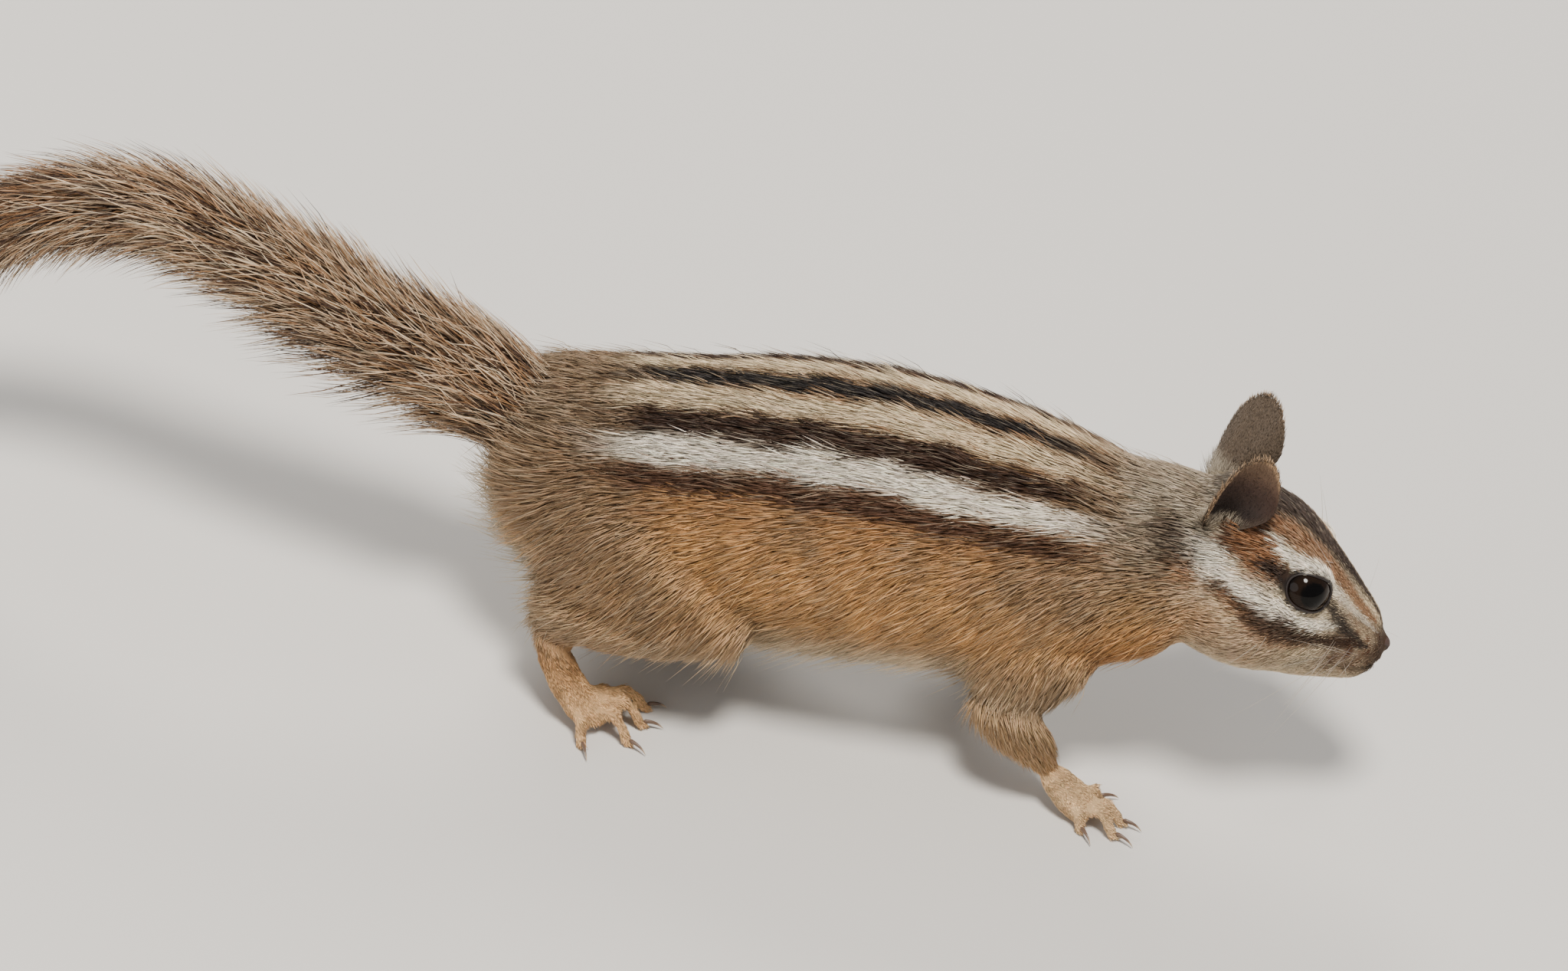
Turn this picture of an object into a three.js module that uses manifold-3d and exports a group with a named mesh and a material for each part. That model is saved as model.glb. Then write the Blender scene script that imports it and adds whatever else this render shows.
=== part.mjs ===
// A chipmunk, life size, in mid-stride: its near feet set apart, head low and level, tail held out behind.
// Millimetres. +X is the way it faces, +Y is its left, +Z is up, and its feet stand on Z = 0.
import * as THREE from "three";
import { mergeVertices } from "three/addons/utils/BufferGeometryUtils.js";
import Module from "manifold-3d";

const wasm = await Module();
wasm.setup();

const { Vector3, Matrix4, CatmullRomCurve3 } = THREE;
const { clamp, degToRad } = THREE.MathUtils;
const at = (x, y, z) => new Vector3(x, y, z);

// Driving sizes of the animal, in millimetres.
const GAP = 0.32; // the thin cut between two nodes
const FLOOR_FLAT = 0.22; // how much of each pad the floor flattens
const EYE_RADIUS = 3.5;
const EYE_OPENING = 3.1; // half the width between the corners of the lids
const LID_THICK = 0.4;
const EAR_HEIGHT = 14.0;
const EAR_WIDTH = 8.8;
const EAR_DEPTH = 3.2; // of its cup
const EAR_WALL = 0.8;
const NOSE_RADIUS = 1.65;
const TOE_RADIUS = 0.95;
const CLAW_LENGTH = 2.3;
const CLAW_RADIUS = 0.46;
const TAIL_HAIR = 16; // length of the locks on the tail
const TAIL_SPREAD = 6.7; // how far out their tips are
const LOCK_THICK = 1.1;
const LOCK_WIDE = 6.8;
const FIRST_RING = 4.9; // where along the tail its first ring of locks has its roots
const LOCK_ROW = 7.3; // from one ring of locks to the next
const LOCKS_ROUND = 6;
const HEAD_CENTRE = at(52, 0, 33);
const HEAD_PITCH = degToRad(11); // nose down
const HEAD_ROLL = degToRad(-15); // crown leaning to its left

// The trunk's sections: how far forward, the height of the middle, then up, down and half-width from there.
const TRUNK = [
  [-46, 31.0, 6, 7, 7],
  [-40, 29.0, 12.8, 12.4, 12],
  [-33, 27.4, 16.4, 14.8, 14.2],
  [-22, 27.8, 18.3, 15.8, 15.6],
  [-10, 29.4, 19.1, 17.4, 17.4],
  [5, 31.0, 18.6, 18.0, 17.6],
  [18, 30.6, 17.9, 17.4, 16.2],
  [26, 29.8, 17.4, 16.6, 14.8],
  [34, 29.8, 15.4, 14.4, 12.8],
  [41, 31.8, 13.6, 12.4, 12.2],
  [46.5, 33.4, 12.9, 12.0, 12.4],
];
// The head's sections, in its own level frame about its centre.
const HEAD = [
  [-15, 0, 5, 5, 6],
  [-8, -0.6, 11.9, 10.2, 11.3],
  [-2, -1.2, 13.1, 10.8, 12.2],
  [3, -1.0, 11.9, 10.8, 11.6],
  [6.8, -0.2, 8.9, 10.9, 9.9],
  [10, -0.4, 7.0, 10.2, 7.7],
  [13, -0.9, 5.3, 8.6, 6.0],
  [16, -1.8, 4.0, 6.6, 4.8],
  [17.8, -2.6, 3.0, 5.0, 3.9],
  [19.2, -3.2, 2.0, 3.3, 3.1],
];
// Swellings and hollows of its left half, mirrored for the right: the place, the reach, then out or in.
const FACE = [
  [at(14.8, 4.0, -3.4), 2.8, 0.6], // whisker pad
  [at(0, 10.5, -5.0), 5.0, 0.9], // cheek
  [at(11.2, 6.2, 2.6), 2.4, -0.4], // hollow in front of the eye
  [at(5.8, 9, 3.6), 4.2, 0.8], // about the eye
];
// The solid below the line of the mouth, which parts the lower jaw from the head.
const JAW = [
  [11.4, -9, 2.6, 6, 8.6],
  [14, -9, 3.3, 6, 8.6],
  [18, -9, 4.4, 6, 7.6],
  [22, -9, 5.0, 6, 6.6],
];

// Legs: each joint as [x, y, z, half-height, half-width], each toe as its base, knuckle and claw's tip.
const HIND_RIGHT = {
  thigh: [[-37, -7.5, 26, 9.5, 8], [-29, -9.4, 23.5, 13, 9], [-17, -12.4, 20, 9, 6.6], [-8, -14, 18, 5, 4.4]],
  shank: [
    [-9, -14, 17.4, 4.4, 4], [-20, -14.2, 15.6, 4.8, 4], [-32, -14.3, 14.8, 4.6, 3.6],
    [-37.4, -14.1, 14.8, 3.8, 3],
  ],
  foot: [
    [-35.6, -14.4, 14.4, 2.4, 2.4], [-34, -14.9, 9.6, 2.5, 2.5], [-31.7, -16.2, 6, 2.3, 3],
    [-28.4, -16.9, 2.7, 2.2, 3.7], [-25.2, -16.8, 1.8, 1.7, 3.3],
  ],
  toes: [
    [[-28.4, -14.6, 3.6], [-26.2, -12.4, 2.6], [-23.4, -9.6, 0.6]],
    [[-27.2, -14.8, 3.4], [-22.8, -12.9, 3.7], [-18.1, -10.9, 0.6]],
    [[-27.0, -16.2, 3.2], [-22.4, -15.8, 3.6], [-17.9, -15.2, 0.6]],
    [[-27.4, -17.8, 3.1], [-23.4, -19.1, 3.4], [-19.4, -21.2, 0.6]],
    [[-29.6, -18.2, 3.2], [-28.2, -21.2, 2.6], [-26.6, -24.8, 0.6]],
  ],
};
const HIND_LEFT = {
  thigh: [[-37, 7.5, 27, 9, 8], [-29, 9.2, 23.5, 13, 9], [-16, 12.4, 20, 9, 6.6], [-7, 14, 18, 5, 4.4]],
  shank: [
    [-7, 14, 17.4, 5, 4.2], [-17, 14.6, 13.2, 5, 3.8], [-28, 15.2, 7.2, 3.6, 2.9],
    [-31.5, 15.4, 5.2, 2.8, 2.5],
  ],
  foot: [
    [-34.4, 15.4, 3.4, 2.6, 2.4], [-29, 15.6, 2.5, 2.7, 2.6], [-21, 16.2, 2.1, 2.3, 3.0],
    [-16, 16.6, 1.9, 2.0, 3.6], [-13.6, 16.8, 1.8, 1.7, 3.2],
  ],
  toes: [
    [[-19.4, 14.6, 2.0], [-15.8, 12.9, 2.0], [-11.6, 11.4, 0.6]],
    [[-16.4, 15.0, 2.2], [-11.0, 14.2, 2.8], [-5.2, 13.4, 0.6]],
    [[-16.2, 16.6, 2.2], [-10.0, 16.8, 2.9], [-3.8, 17.0, 0.6]],
    [[-16.4, 18.2, 2.2], [-10.8, 19.3, 2.8], [-4.8, 20.6, 0.6]],
    [[-18.8, 18.6, 2.0], [-14.6, 20.8, 2.2], [-10.2, 23.0, 0.6]],
  ],
};
const FORE_RIGHT = {
  upper_arm: [
    [28, -6, 29, 8, 5], [27, -8.4, 24.4, 10, 5.8], [23.6, -11, 18.6, 8.2, 5],
    [20.4, -12.2, 15.4, 5, 4.2],
  ],
  forearm: [
    [20.6, -12.2, 16.6, 5, 4.2], [25.4, -12.8, 12.2, 4.6, 3.8], [29.2, -13.4, 8, 2.9, 2.6],
    [31.4, -13.8, 5.4, 2.2, 2.2],
  ],
  foot: [
    [30.4, -13.6, 6.4, 2, 2.1], [33, -14, 4.2, 2.2, 2.6], [36.2, -14.5, 2.0, 2.3, 3.2],
    [38.2, -14.8, 1.8, 1.6, 2.8],
  ],
  toes: [
    [[36.2, -12.8, 2.4], [38.4, -11.2, 2.7], [41.2, -9.8, 0.6]],
    [[37.0, -14.2, 2.4], [40.4, -14.6, 2.9], [44.8, -15.5, 0.6]],
    [[36.8, -15.8, 2.4], [39.8, -17.2, 2.9], [44.0, -19.0, 0.6]],
    [[35.4, -16.4, 2.2], [36.8, -18.0, 2.4], [38.6, -20.4, 0.6]],
  ],
};
const FORE_LEFT = {
  upper_arm: [
    [25, 6, 29, 8, 5], [21.6, 8.4, 24, 9.6, 5.6], [14.2, 11.2, 18.6, 6.6, 4.8],
    [10, 12.2, 16.4, 4.4, 4],
  ],
  forearm: [
    [10, 12, 17.6, 4.8, 4.2], [12.6, 12.4, 12.6, 4.6, 3.8], [15.6, 12.8, 8, 2.9, 2.6],
    [16.8, 13, 5.2, 2.2, 2.2],
  ],
  foot: [
    [15.4, 12.8, 6.2, 2, 2.1], [17.8, 13, 4, 2.2, 2.6], [21, 13.4, 2.0, 2.3, 3.2],
    [23, 13.6, 1.8, 1.6, 2.8],
  ],
  toes: [
    [[21.0, 11.8, 2.4], [23.4, 10.6, 2.6], [26.4, 9.4, 0.6]],
    [[21.8, 13.0, 2.4], [25.4, 12.7, 2.8], [29.8, 12.4, 0.6]],
    [[21.8, 14.4, 2.4], [25.2, 14.9, 2.8], [29.4, 15.8, 0.6]],
    [[20.4, 15.2, 2.2], [22.6, 16.5, 2.4], [25.4, 18.2, 0.6]],
  ],
};
// The middle line of the tail, from inside the rump out to the last of its hair.
const TAIL = [
  [-41, 0, 33.6], [-53, 0.3, 39], [-66, 1, 43], [-75, 2, 46.2], [-84, 3, 48.6],
  [-93, 4.5, 49.6], [-101, 5.4, 48.4], [-108, 6, 45.2], [-115, 6.6, 39.6], [-123, 7, 30],
].map(([x, y, z]) => at(x, y, z));
// The radius of its core and how far its hair spreads, as a share of TAIL_SPREAD, at places along it.
const TAIL_CORE = [[0, 3.4], [20, 3.4], [50, 3], [76, 2.2], [90, 1.4]];
const TAIL_BUSH = [[0, 0.85], [12, 1], [58, 1], [72, 0.9], [86, 0.6]];
const TAIL_PARTS = [23.3, 52.5]; // where along it the tail is parted in three

// Values at a place among rows that are sorted by their first number, on a smooth curve through them.
function between(rows, where) {
  const last = rows.length - 1;
  let i = 0;
  while (i < last - 1 && where > rows[i + 1][0]) i += 1;
  const [p1, p2] = [rows[i], rows[i + 1]];
  const [p0, p3] = [rows[Math.max(i - 1, 0)], rows[Math.min(i + 2, last)]];
  const span = p2[0] - p1[0];
  const t = clamp((where - p1[0]) / span, 0, 1);
  return p1.map((value, k) => {
    const m1 = ((p2[k] - p0[k]) / (p2[0] - p0[0])) * span;
    const m2 = ((p3[k] - p1[k]) / (p3[0] - p1[0])) * span;
    const cubed = (2 * value - 2 * p2[k] + m1 + m2) * t * t * t;
    return cubed + (-3 * value + 3 * p2[k] - 2 * m1 - m2) * t * t + m1 * t + value;
  });
}

// A closed geometry as a solid that can be joined and cut, turned the right way out.
function solid(geometry) {
  const bare = new THREE.BufferGeometry();
  bare.setAttribute("position", geometry.getAttribute("position").clone());
  bare.setIndex(geometry.index.clone());
  const merged = mergeVertices(bare, 1e-4);
  const triVerts = new Uint32Array(merged.index.array);
  const vertProperties = merged.attributes.position.array;
  const build = () => new wasm.Manifold(new wasm.Mesh({ numProp: 3, vertProperties, triVerts }));
  const made = build();
  if (made.volume() > 0) return made;
  for (let i = 0; i < triVerts.length; i += 3)
    [triVerts[i + 1], triVerts[i + 2]] = [triVerts[i + 2], triVerts[i + 1]];
  return build();
}

// A closed solid made by moving every point of a sphere: place(u, v) says where,
// with u around it and v from end to end.
function moulded(around, rings, place) {
  const geometry = new THREE.SphereGeometry(1, around, rings);
  const points = geometry.getAttribute("position");
  for (let i = 0; i < points.count; i += 1) {
    const u = ((i % (around + 1)) % around) / around;
    const v = Math.floor(i / (around + 1)) / rings;
    const p = place(u, v);
    points.setXYZ(i, p.x, p.y, p.z);
  }
  return solid(geometry);
}

// A steady pick between 0 and 1 for each number.
const chance = (number) => (((Math.sin(number * 127.1) * 43758.5453) % 1) + 1) % 1;

const join = (solids) => solids.reduce((sum, next) => sum.add(next));

// A node keeps its largest closed surface.
function largest(made) {
  const pieces = made.decompose().filter((piece) => piece.volume() > 0);
  return pieces.reduce((best, piece) => (piece.volume() > best.volume() ? piece : best));
}

// A box from corner to corner.
function box(low, high, frame = new Matrix4()) {
  const size = high.clone().sub(low);
  const middle = low.clone().add(high).multiplyScalar(0.5);
  const geometry = new THREE.BoxGeometry(size.x, size.y, size.z).translate(middle.x, middle.y, middle.z);
  return solid(geometry.applyMatrix4(frame));
}

// An ellipsoid, given the way and the length of each of its half axes.
function ball(centre, radii, around, rings, finish = (p) => p) {
  return moulded(around, rings, (u, v) => {
    const [angle, tilt] = [2 * Math.PI * u, Math.PI * v];
    const p = at(Math.cos(angle) * Math.sin(tilt), Math.sin(angle) * Math.sin(tilt), Math.cos(tilt));
    return finish(p.multiply(radii).add(centre));
  });
}

// Sections along +X, rounded off over `cap` at both ends and swollen by `grow`. `finish` has the last word
// on a point, and is told the way out of the surface there.
function lofted(rows, around, rings, cap, grow = 0, finish = (p) => p) {
  const [start, end] = [rows[0][0], rows[rows.length - 1][0]];
  return moulded(around, rings, (u, v) => {
    const x = start + (end - start) * (0.5 - 0.5 * Math.cos(Math.PI * v));
    const [, centre, up, down, half] = between(rows, x);
    const inset = clamp(Math.min(x - start, end - x) / cap, 0, 1);
    const round = Math.sqrt(1 - (1 - inset) ** 2);
    const angle = 2 * Math.PI * u - 0.25 * Math.sin(4 * Math.PI * u);
    const [side, rise] = [Math.cos(angle), Math.sin(angle)];
    const out = at((v < 0.5 ? -1 : 1) * (1 - inset), side * round, rise * round).normalize();
    const tall = rise > 0 ? up : down;
    return finish(at(x, side * half * round, centre + rise * tall * round).addScaledVector(out, grow), out);
  });
}

// A limb through joints, each [x, y, z, half-height, half-width], with its width measured along `across`.
function limb(joints, around, rings, grow = 0, across = at(0, 1, 0)) {
  const curve = new CatmullRomCurve3(joints.map(([x, y, z]) => at(x, y, z)), false, "centripetal");
  const rows = joints.map(([, , , tall, wide], i) => [i / (joints.length - 1), tall, wide]);
  return moulded(around, rings, (u, v) => {
    const t = 0.5 - 0.5 * Math.cos(Math.PI * v);
    const [, tall, wide] = between(rows, t);
    const forward = curve.getTangent(t);
    const side = across.clone().addScaledVector(forward, -forward.dot(across)).normalize();
    const top = forward.clone().cross(side);
    const round = Math.sin(Math.PI * v) ** 0.6;
    return curve
      .getPoint(t)
      .addScaledVector(forward, grow * (2 * v - 1))
      .addScaledVector(side, Math.cos(2 * Math.PI * u) * (wide + grow) * round)
      .addScaledVector(top, Math.sin(2 * Math.PI * u) * (tall + grow) * round);
  });
}

const HEAD_FRAME = new Matrix4()
  .makeTranslation(HEAD_CENTRE)
  .multiply(new Matrix4().makeRotationX(HEAD_ROLL))
  .multiply(new Matrix4().makeRotationY(HEAD_PITCH));
const inHead = (p) => p.applyMatrix4(HEAD_FRAME);

// Eye: a ball seen through the lids. `side` is 1 for the animal's left and -1 for its right.
const eyeCentre = (side) => at(5.2, side * 6.8, 3.6);
const eyeAxis = (side) => at(0.36, side * 0.91, 0.2).normalize();
const eye = (side, grow = 0) =>
  ball(eyeCentre(side), at(1, 1, 1).multiplyScalar(EYE_RADIUS + grow), 14, 9, inHead);

// The opening between the lids: a wider ball that stands off the eye and bites a rounded almond out of them.
function eyeOpening(side) {
  const axis = eyeAxis(side);
  const standoff = EYE_RADIUS * 1.4;
  const bite = Math.hypot(standoff - Math.sqrt(EYE_RADIUS ** 2 - EYE_OPENING ** 2), EYE_OPENING);
  const turn = new THREE.Quaternion().setFromUnitVectors(at(0, side, 0), axis);
  const centre = eyeCentre(side).addScaledVector(axis, standoff);
  const almond = at(bite * 1.04, bite, bite * 0.95);
  return ball(at(0, 0, 0), almond, 18, 12, (p) => inHead(p.applyQuaternion(turn).add(centre)));
}

// Lids: a thin dome over the eye, joined to the head and open where the eye shows.
const withLids = (head, side) =>
  head.add(eye(side, GAP + LID_THICK)).subtract(eye(side, GAP)).subtract(eyeOpening(side));

// Ear: a leaf-shaped cup with a turned-in front rim. Its hollow faces out and somewhat forward.
function ear(side, grow = 0) {
  const root = at(-7.5, side * 8.2, 5.2);
  const up = at(0.08, side * 0.17, 1).normalize();
  const open = at(0.5, side, 0);
  const facing = open.addScaledVector(up, -open.dot(up)).normalize();
  const ahead = at(1, 0, 0).addScaledVector(up, -up.x).addScaledVector(facing, -facing.x).normalize();
  return moulded(16, 8, (u, v) => {
    const [angle, r] = [2 * Math.PI * u, Math.sin(Math.PI * v)];
    const a = Math.cos(angle) * r * (1 + (2 * grow) / EAR_WIDTH);
    const b = Math.sin(angle) * r * (1 + (2 * grow) / EAR_HEIGHT);
    const wide = (EAR_WIDTH / 2) * (1.04 + 0.06 * b - 0.14 * b * b);
    const hollow = -EAR_DEPTH * (1 - a * a) * (0.8 - 0.4 * b);
    const turn = Math.max(a, 0) ** 4;
    const skin = Math.sign(0.5 - v) * Math.sqrt(Math.abs(Math.cos(Math.PI * v))) * (EAR_WALL / 2 + grow);
    return inHead(
      root
        .clone()
        .addScaledVector(up, ((1 + b) * EAR_HEIGHT) / 2)
        .addScaledVector(ahead, a * wide - turn * 0.7)
        .addScaledVector(facing, hollow + skin + turn * 0.9 + EAR_DEPTH * 0.4),
    );
  });
}

// The head's skin swells or sinks where FACE says.
function faced(p, out) {
  const mirrored = at(p.x, Math.abs(p.y), p.z);
  for (const [place, reach, height] of FACE)
    p.addScaledVector(out, height * Math.exp(-((mirrored.distanceTo(place) / reach) ** 2)));
  return inHead(p);
}

const nostril = (side) => ball(at(18.9, side * 1.05, -2.3), at(1, 0.42, 0.5), 6, 4, inHead);
const nosePad = (grow = 0) =>
  ball(at(17.9, 0, -2.1), at(1, 1.08, 0.9).multiplyScalar(NOSE_RADIUS).addScalar(grow), 10, 8, inHead);
const jawBelow = (grow = 0) => lofted(JAW, 20, 8, 0.8, grow, inHead);
const philtrum = box(at(18.2, -GAP / 2, -5), at(21, GAP / 2, -3), HEAD_FRAME);

const skull = lofted(HEAD, 26, 22, 3.2, 0, faced);
const behindFace = lofted(HEAD.slice(0, 6), 24, 12, 3.2, GAP * 1.4, inHead);

const head = [1, -1]
  .reduce((made, side) => withLids(made, side).subtract(ear(side, GAP * 1.6)), skull)
  .subtract(nosePad(GAP))
  .subtract(jawBelow(GAP))
  .subtract(philtrum);

// A toe with its claw, a short curved spike that bends down to the floor.
function toe([base, knuckle, end]) {
  const [from, over, point] = [base, knuckle, end].map(([x, y, z]) => at(x, y, z));
  const along = point.clone().sub(over).setZ(0).normalize();
  const across = at(-along.y, along.x, 0);
  const pad = TOE_RADIUS - FLOOR_FLAT;
  const tip = point.clone().addScaledVector(along, -CLAW_LENGTH).setZ(pad);
  const bend = point.clone().addScaledVector(along, -CLAW_LENGTH * 0.45).setZ(pad + 0.5);
  const jointed = (list) => list.map(([p, radius]) => [p.x, p.y, p.z, radius, radius]);
  const rest = tip.clone().addScaledVector(along, -1.2);
  const flesh = jointed([
    [from, TOE_RADIUS * 1.05],
    [over, TOE_RADIUS * 0.95],
    [rest, TOE_RADIUS],
    [tip, TOE_RADIUS],
  ]);
  const horn = jointed([
    [tip.clone().addScaledVector(along, -0.7).setZ(pad + 0.35), CLAW_RADIUS],
    [bend, CLAW_RADIUS],
    [point.clone().setZ(0.4), 0.12],
  ]);
  return limb(flesh, 6, 6, 0, across).add(limb(horn, 4, 3, 0, across));
}

const above = box(at(-200, -60, 0), at(200, 60, 120));

// A leg as its three nodes, and the solid that it takes out of the trunk.
function leg(highName, lowName, footName, { foot, toes, ...bones }) {
  const [high, low] = [bones[highName], bones[lowName]];
  const side = high[0][1] > 0 ? "left" : "right";
  return {
    cutter: limb(high, 12, 9, GAP).add(limb(low, 10, 8, GAP)),
    nodes: {
      [`${highName}_${side}`]: limb(high, 12, 9).subtract(limb(low, 10, 8, GAP)),
      [`${lowName}_${side}`]: limb(low, 10, 8).subtract(limb(foot, 10, 8, GAP)),
      [`${footName}_${side}`]: join([limb(foot, 8, 8), ...toes.map(toe)]).intersect(above),
    },
  };
}

const legs = [
  leg("thigh", "shank", "hind_foot", HIND_RIGHT),
  leg("thigh", "shank", "hind_foot", HIND_LEFT),
  leg("upper_arm", "forearm", "fore_foot", FORE_RIGHT),
  leg("upper_arm", "forearm", "fore_foot", FORE_LEFT),
];

// A place beside the tail: how far along it, which way round and how far out.
const tailCurve = new CatmullRomCurve3(TAIL, false, "centripetal");
const tailLength = tailCurve.getLength();
function besideTail(along, angle, out) {
  const t = clamp(along / tailLength, 0, 1);
  const backward = tailCurve.getTangentAt(t);
  const side = at(0, 1, 0).addScaledVector(backward, -backward.y).normalize();
  const top = side.clone().cross(backward);
  return tailCurve
    .getPointAt(t)
    .addScaledVector(backward, along - t * tailLength)
    .addScaledVector(side, Math.cos(angle) * out)
    .addScaledVector(top, Math.sin(angle) * out);
}

// A round solid along the tail between two places, with its radius given by `reach`.
const roundTail = (from, to, around, rings, reach) =>
  moulded(around, rings, (u, v) => {
    const along = from + (to - from) * v;
    return besideTail(along, 2 * Math.PI * u, v === 0 || v === 1 ? 0 : reach(along));
  });

// How far out a hair of the tail is, a given way along from its root.
const lie = (along) => TAIL_SPREAD * (1.2 - (0.2 * along) / TAIL_HAIR) * (along / TAIL_HAIR);

// The hollow trumpet in which each length of the tail starts, under the last locks of the length before.
const trumpet = (place) =>
  roundTail(place, tailLength + 10, 12, 12, (along) => 1 + lie(Math.min(along - place, 24)));

// A lock of the tail: flat, widest near its middle, bent and drawn out to a point. Its root lies in the core.
function lock(root, angle, number) {
  const [bend, stretch, lift] = [1, 2, 3].map((n) => chance(number * 3 + n) - 0.5);
  const [, bush] = between(TAIL_BUSH, root);
  return moulded(4, 5, (u, v) => {
    const [side, face] = [Math.cos(2 * Math.PI * u), Math.sin(2 * Math.PI * u)];
    const along = TAIL_HAIR * (1 + 0.3 * stretch) * v;
    const out = 1 + bush * lie(along) + lift * v;
    const wide = (LOCK_WIDE / 2) * Math.min(1, 0.45 + 1.3 * v) * (1 - v ** 3) * Math.sign(v * (1 - v));
    const thick = (LOCK_THICK / 2) * Math.min(1, 5 * v, 5 - 5 * v) * (1 - 0.5 * v);
    return besideTail(root + along, angle + 0.5 * bend * v * v + (side * wide) / out, out + face * thick);
  });
}

// The core of the tail with all its locks, ring after ring, each ring turned half a lock from the one before.
const trunkSkin = (grow) => lofted(TRUNK, 26, 17, 4, grow);
const core = roundTail(0, 92, 8, 10, (along) => between(TAIL_CORE, along)[1]);
const rings = Array.from({ length: 12 }, (_, ring) => FIRST_RING + ring * LOCK_ROW);
const inRing = (ring) => (ring < 8 ? LOCKS_ROUND : LOCKS_ROUND - 2);
const locks = rings.flatMap((root, ring) =>
  Array.from({ length: inRing(ring) }, (_, n) => {
    const number = ring * LOCKS_ROUND + n;
    const angle = (2 * Math.PI * (n + 0.5 * (ring % 2) + 0.3 * (chance(number) - 0.5))) / inRing(ring);
    return { root, made: lock(root + chance(number + 0.5), angle, number) };
  }),
);
const shift = GAP * 2.2;

// The stretch of the tail whose locks have their roots between two places.
const stretch = (from, to) =>
  join([core, ...locks.filter(({ root }) => root >= from && root < to).map(({ made }) => made)]);

const bodyCut = legs.reduce((rest, { cutter }) => rest.subtract(cutter), trunkSkin(0).subtract(behindFace));
const slab = (from, to) => box(at(from, -60, -10), at(to, 60, 120));

const nodes = {
  head,
  lower_jaw: skull.intersect(jawBelow()),
  nose: nosePad().subtract(nostril(1)).subtract(nostril(-1)),
  rump: bodyCut.intersect(slab(-80, -18)),
  belly: bodyCut.intersect(slab(-18 + GAP, 10)),
  chest: bodyCut.intersect(slab(10 + GAP, 35)),
  neck: bodyCut.intersect(slab(35 + GAP, 80)).subtract(ear(1, GAP * 1.6)).subtract(ear(-1, GAP * 1.6)),
  tail_root: stretch(0, TAIL_PARTS[0]).subtract(trumpet(TAIL_PARTS[0])).subtract(trunkSkin(GAP)),
  tail_middle: stretch(...TAIL_PARTS)
    .intersect(trumpet(TAIL_PARTS[0] + shift))
    .subtract(trumpet(TAIL_PARTS[1])),
  tail_end: stretch(TAIL_PARTS[1], 200).intersect(trumpet(TAIL_PARTS[1] + shift)),
};
for (const [side, name] of [[1, "left"], [-1, "right"]]) {
  nodes[`eye_${name}`] = eye(side);
  nodes[`ear_${name}`] = ear(side);
}
for (const { nodes: parts } of legs) Object.assign(nodes, parts);

// What each node is coloured, by the first part of its name that is listed here.
const COLOURS = [
  ["eye", "eye", 0x0b0908, 0.08],
  ["ear", "ear", 0x4a3527, 0.8],
  ["nose", "nose", 0x3a2a26, 0.6],
  ["head", "head_coat", 0x8a6440, 0.9],
  ["lower_jaw", "pale_coat", 0xc8b498, 0.9],
  ["neck", "flank_coat", 0xa06a35, 0.9],
  ["chest", "flank_coat", 0xa06a35, 0.9],
  ["belly", "flank_coat", 0xa06a35, 0.9],
  ["upper_arm", "flank_coat", 0xa06a35, 0.9],
  ["rump", "haunch_coat", 0x75604a, 0.9],
  ["thigh", "haunch_coat", 0x75604a, 0.9],
  ["tail", "tail_coat", 0x86633f, 0.9],
  ["shank", "foot_coat", 0xb48a5c, 0.9],
  ["forearm", "foot_coat", 0xb48a5c, 0.9],
  ["hind_foot", "foot_coat", 0xb48a5c, 0.9],
  ["fore_foot", "foot_coat", 0xb48a5c, 0.9],
];
const painted = ([, name, color, roughness]) => new THREE.MeshStandardMaterial({ name, color, roughness });
const paints = new Map(COLOURS.map((row) => [row[1], painted(row)]));

const group = new THREE.Group();
for (const [name, made] of Object.entries(nodes)) {
  const mesh = largest(made).getMesh();
  const geometry = new THREE.BufferGeometry();
  geometry.setAttribute("position", new THREE.BufferAttribute(mesh.vertProperties, 3));
  geometry.setIndex(new THREE.BufferAttribute(mesh.triVerts, 1));
  const [, paint] = COLOURS.find(([start]) => name.startsWith(start));
  const piece = new THREE.Mesh(geometry, paints.get(paint));
  piece.name = name;
  group.add(piece);
}

// The origin goes to the middle of the ground that the whole animal covers.
const extent = new THREE.Box3().setFromObject(group);
const middle = extent.getCenter(at(0, 0, 0)).setZ(extent.min.z);
for (const piece of group.children) piece.geometry.translate(-middle.x, -middle.y, -middle.z);

export default group;
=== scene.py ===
# %% [markdown]
# # A chipmunk in mid-stride, life size
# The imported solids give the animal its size, its stance and the place of every part. This lesson dresses
# them: one skin over all the flesh, a coat of small solid tufts, fine ears, eyes, lids, nose and claws.
# The shapes are worked out in millimetres in the animal's own frame, where +X is ahead, +Y its left and
# +Z up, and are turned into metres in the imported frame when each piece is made.

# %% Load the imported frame
from math import cos, pi, radians, sin

import bmesh
import bpy
import numpy as np
from mathutils import Matrix, Vector
from mathutils.bvhtree import BVHTree


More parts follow.
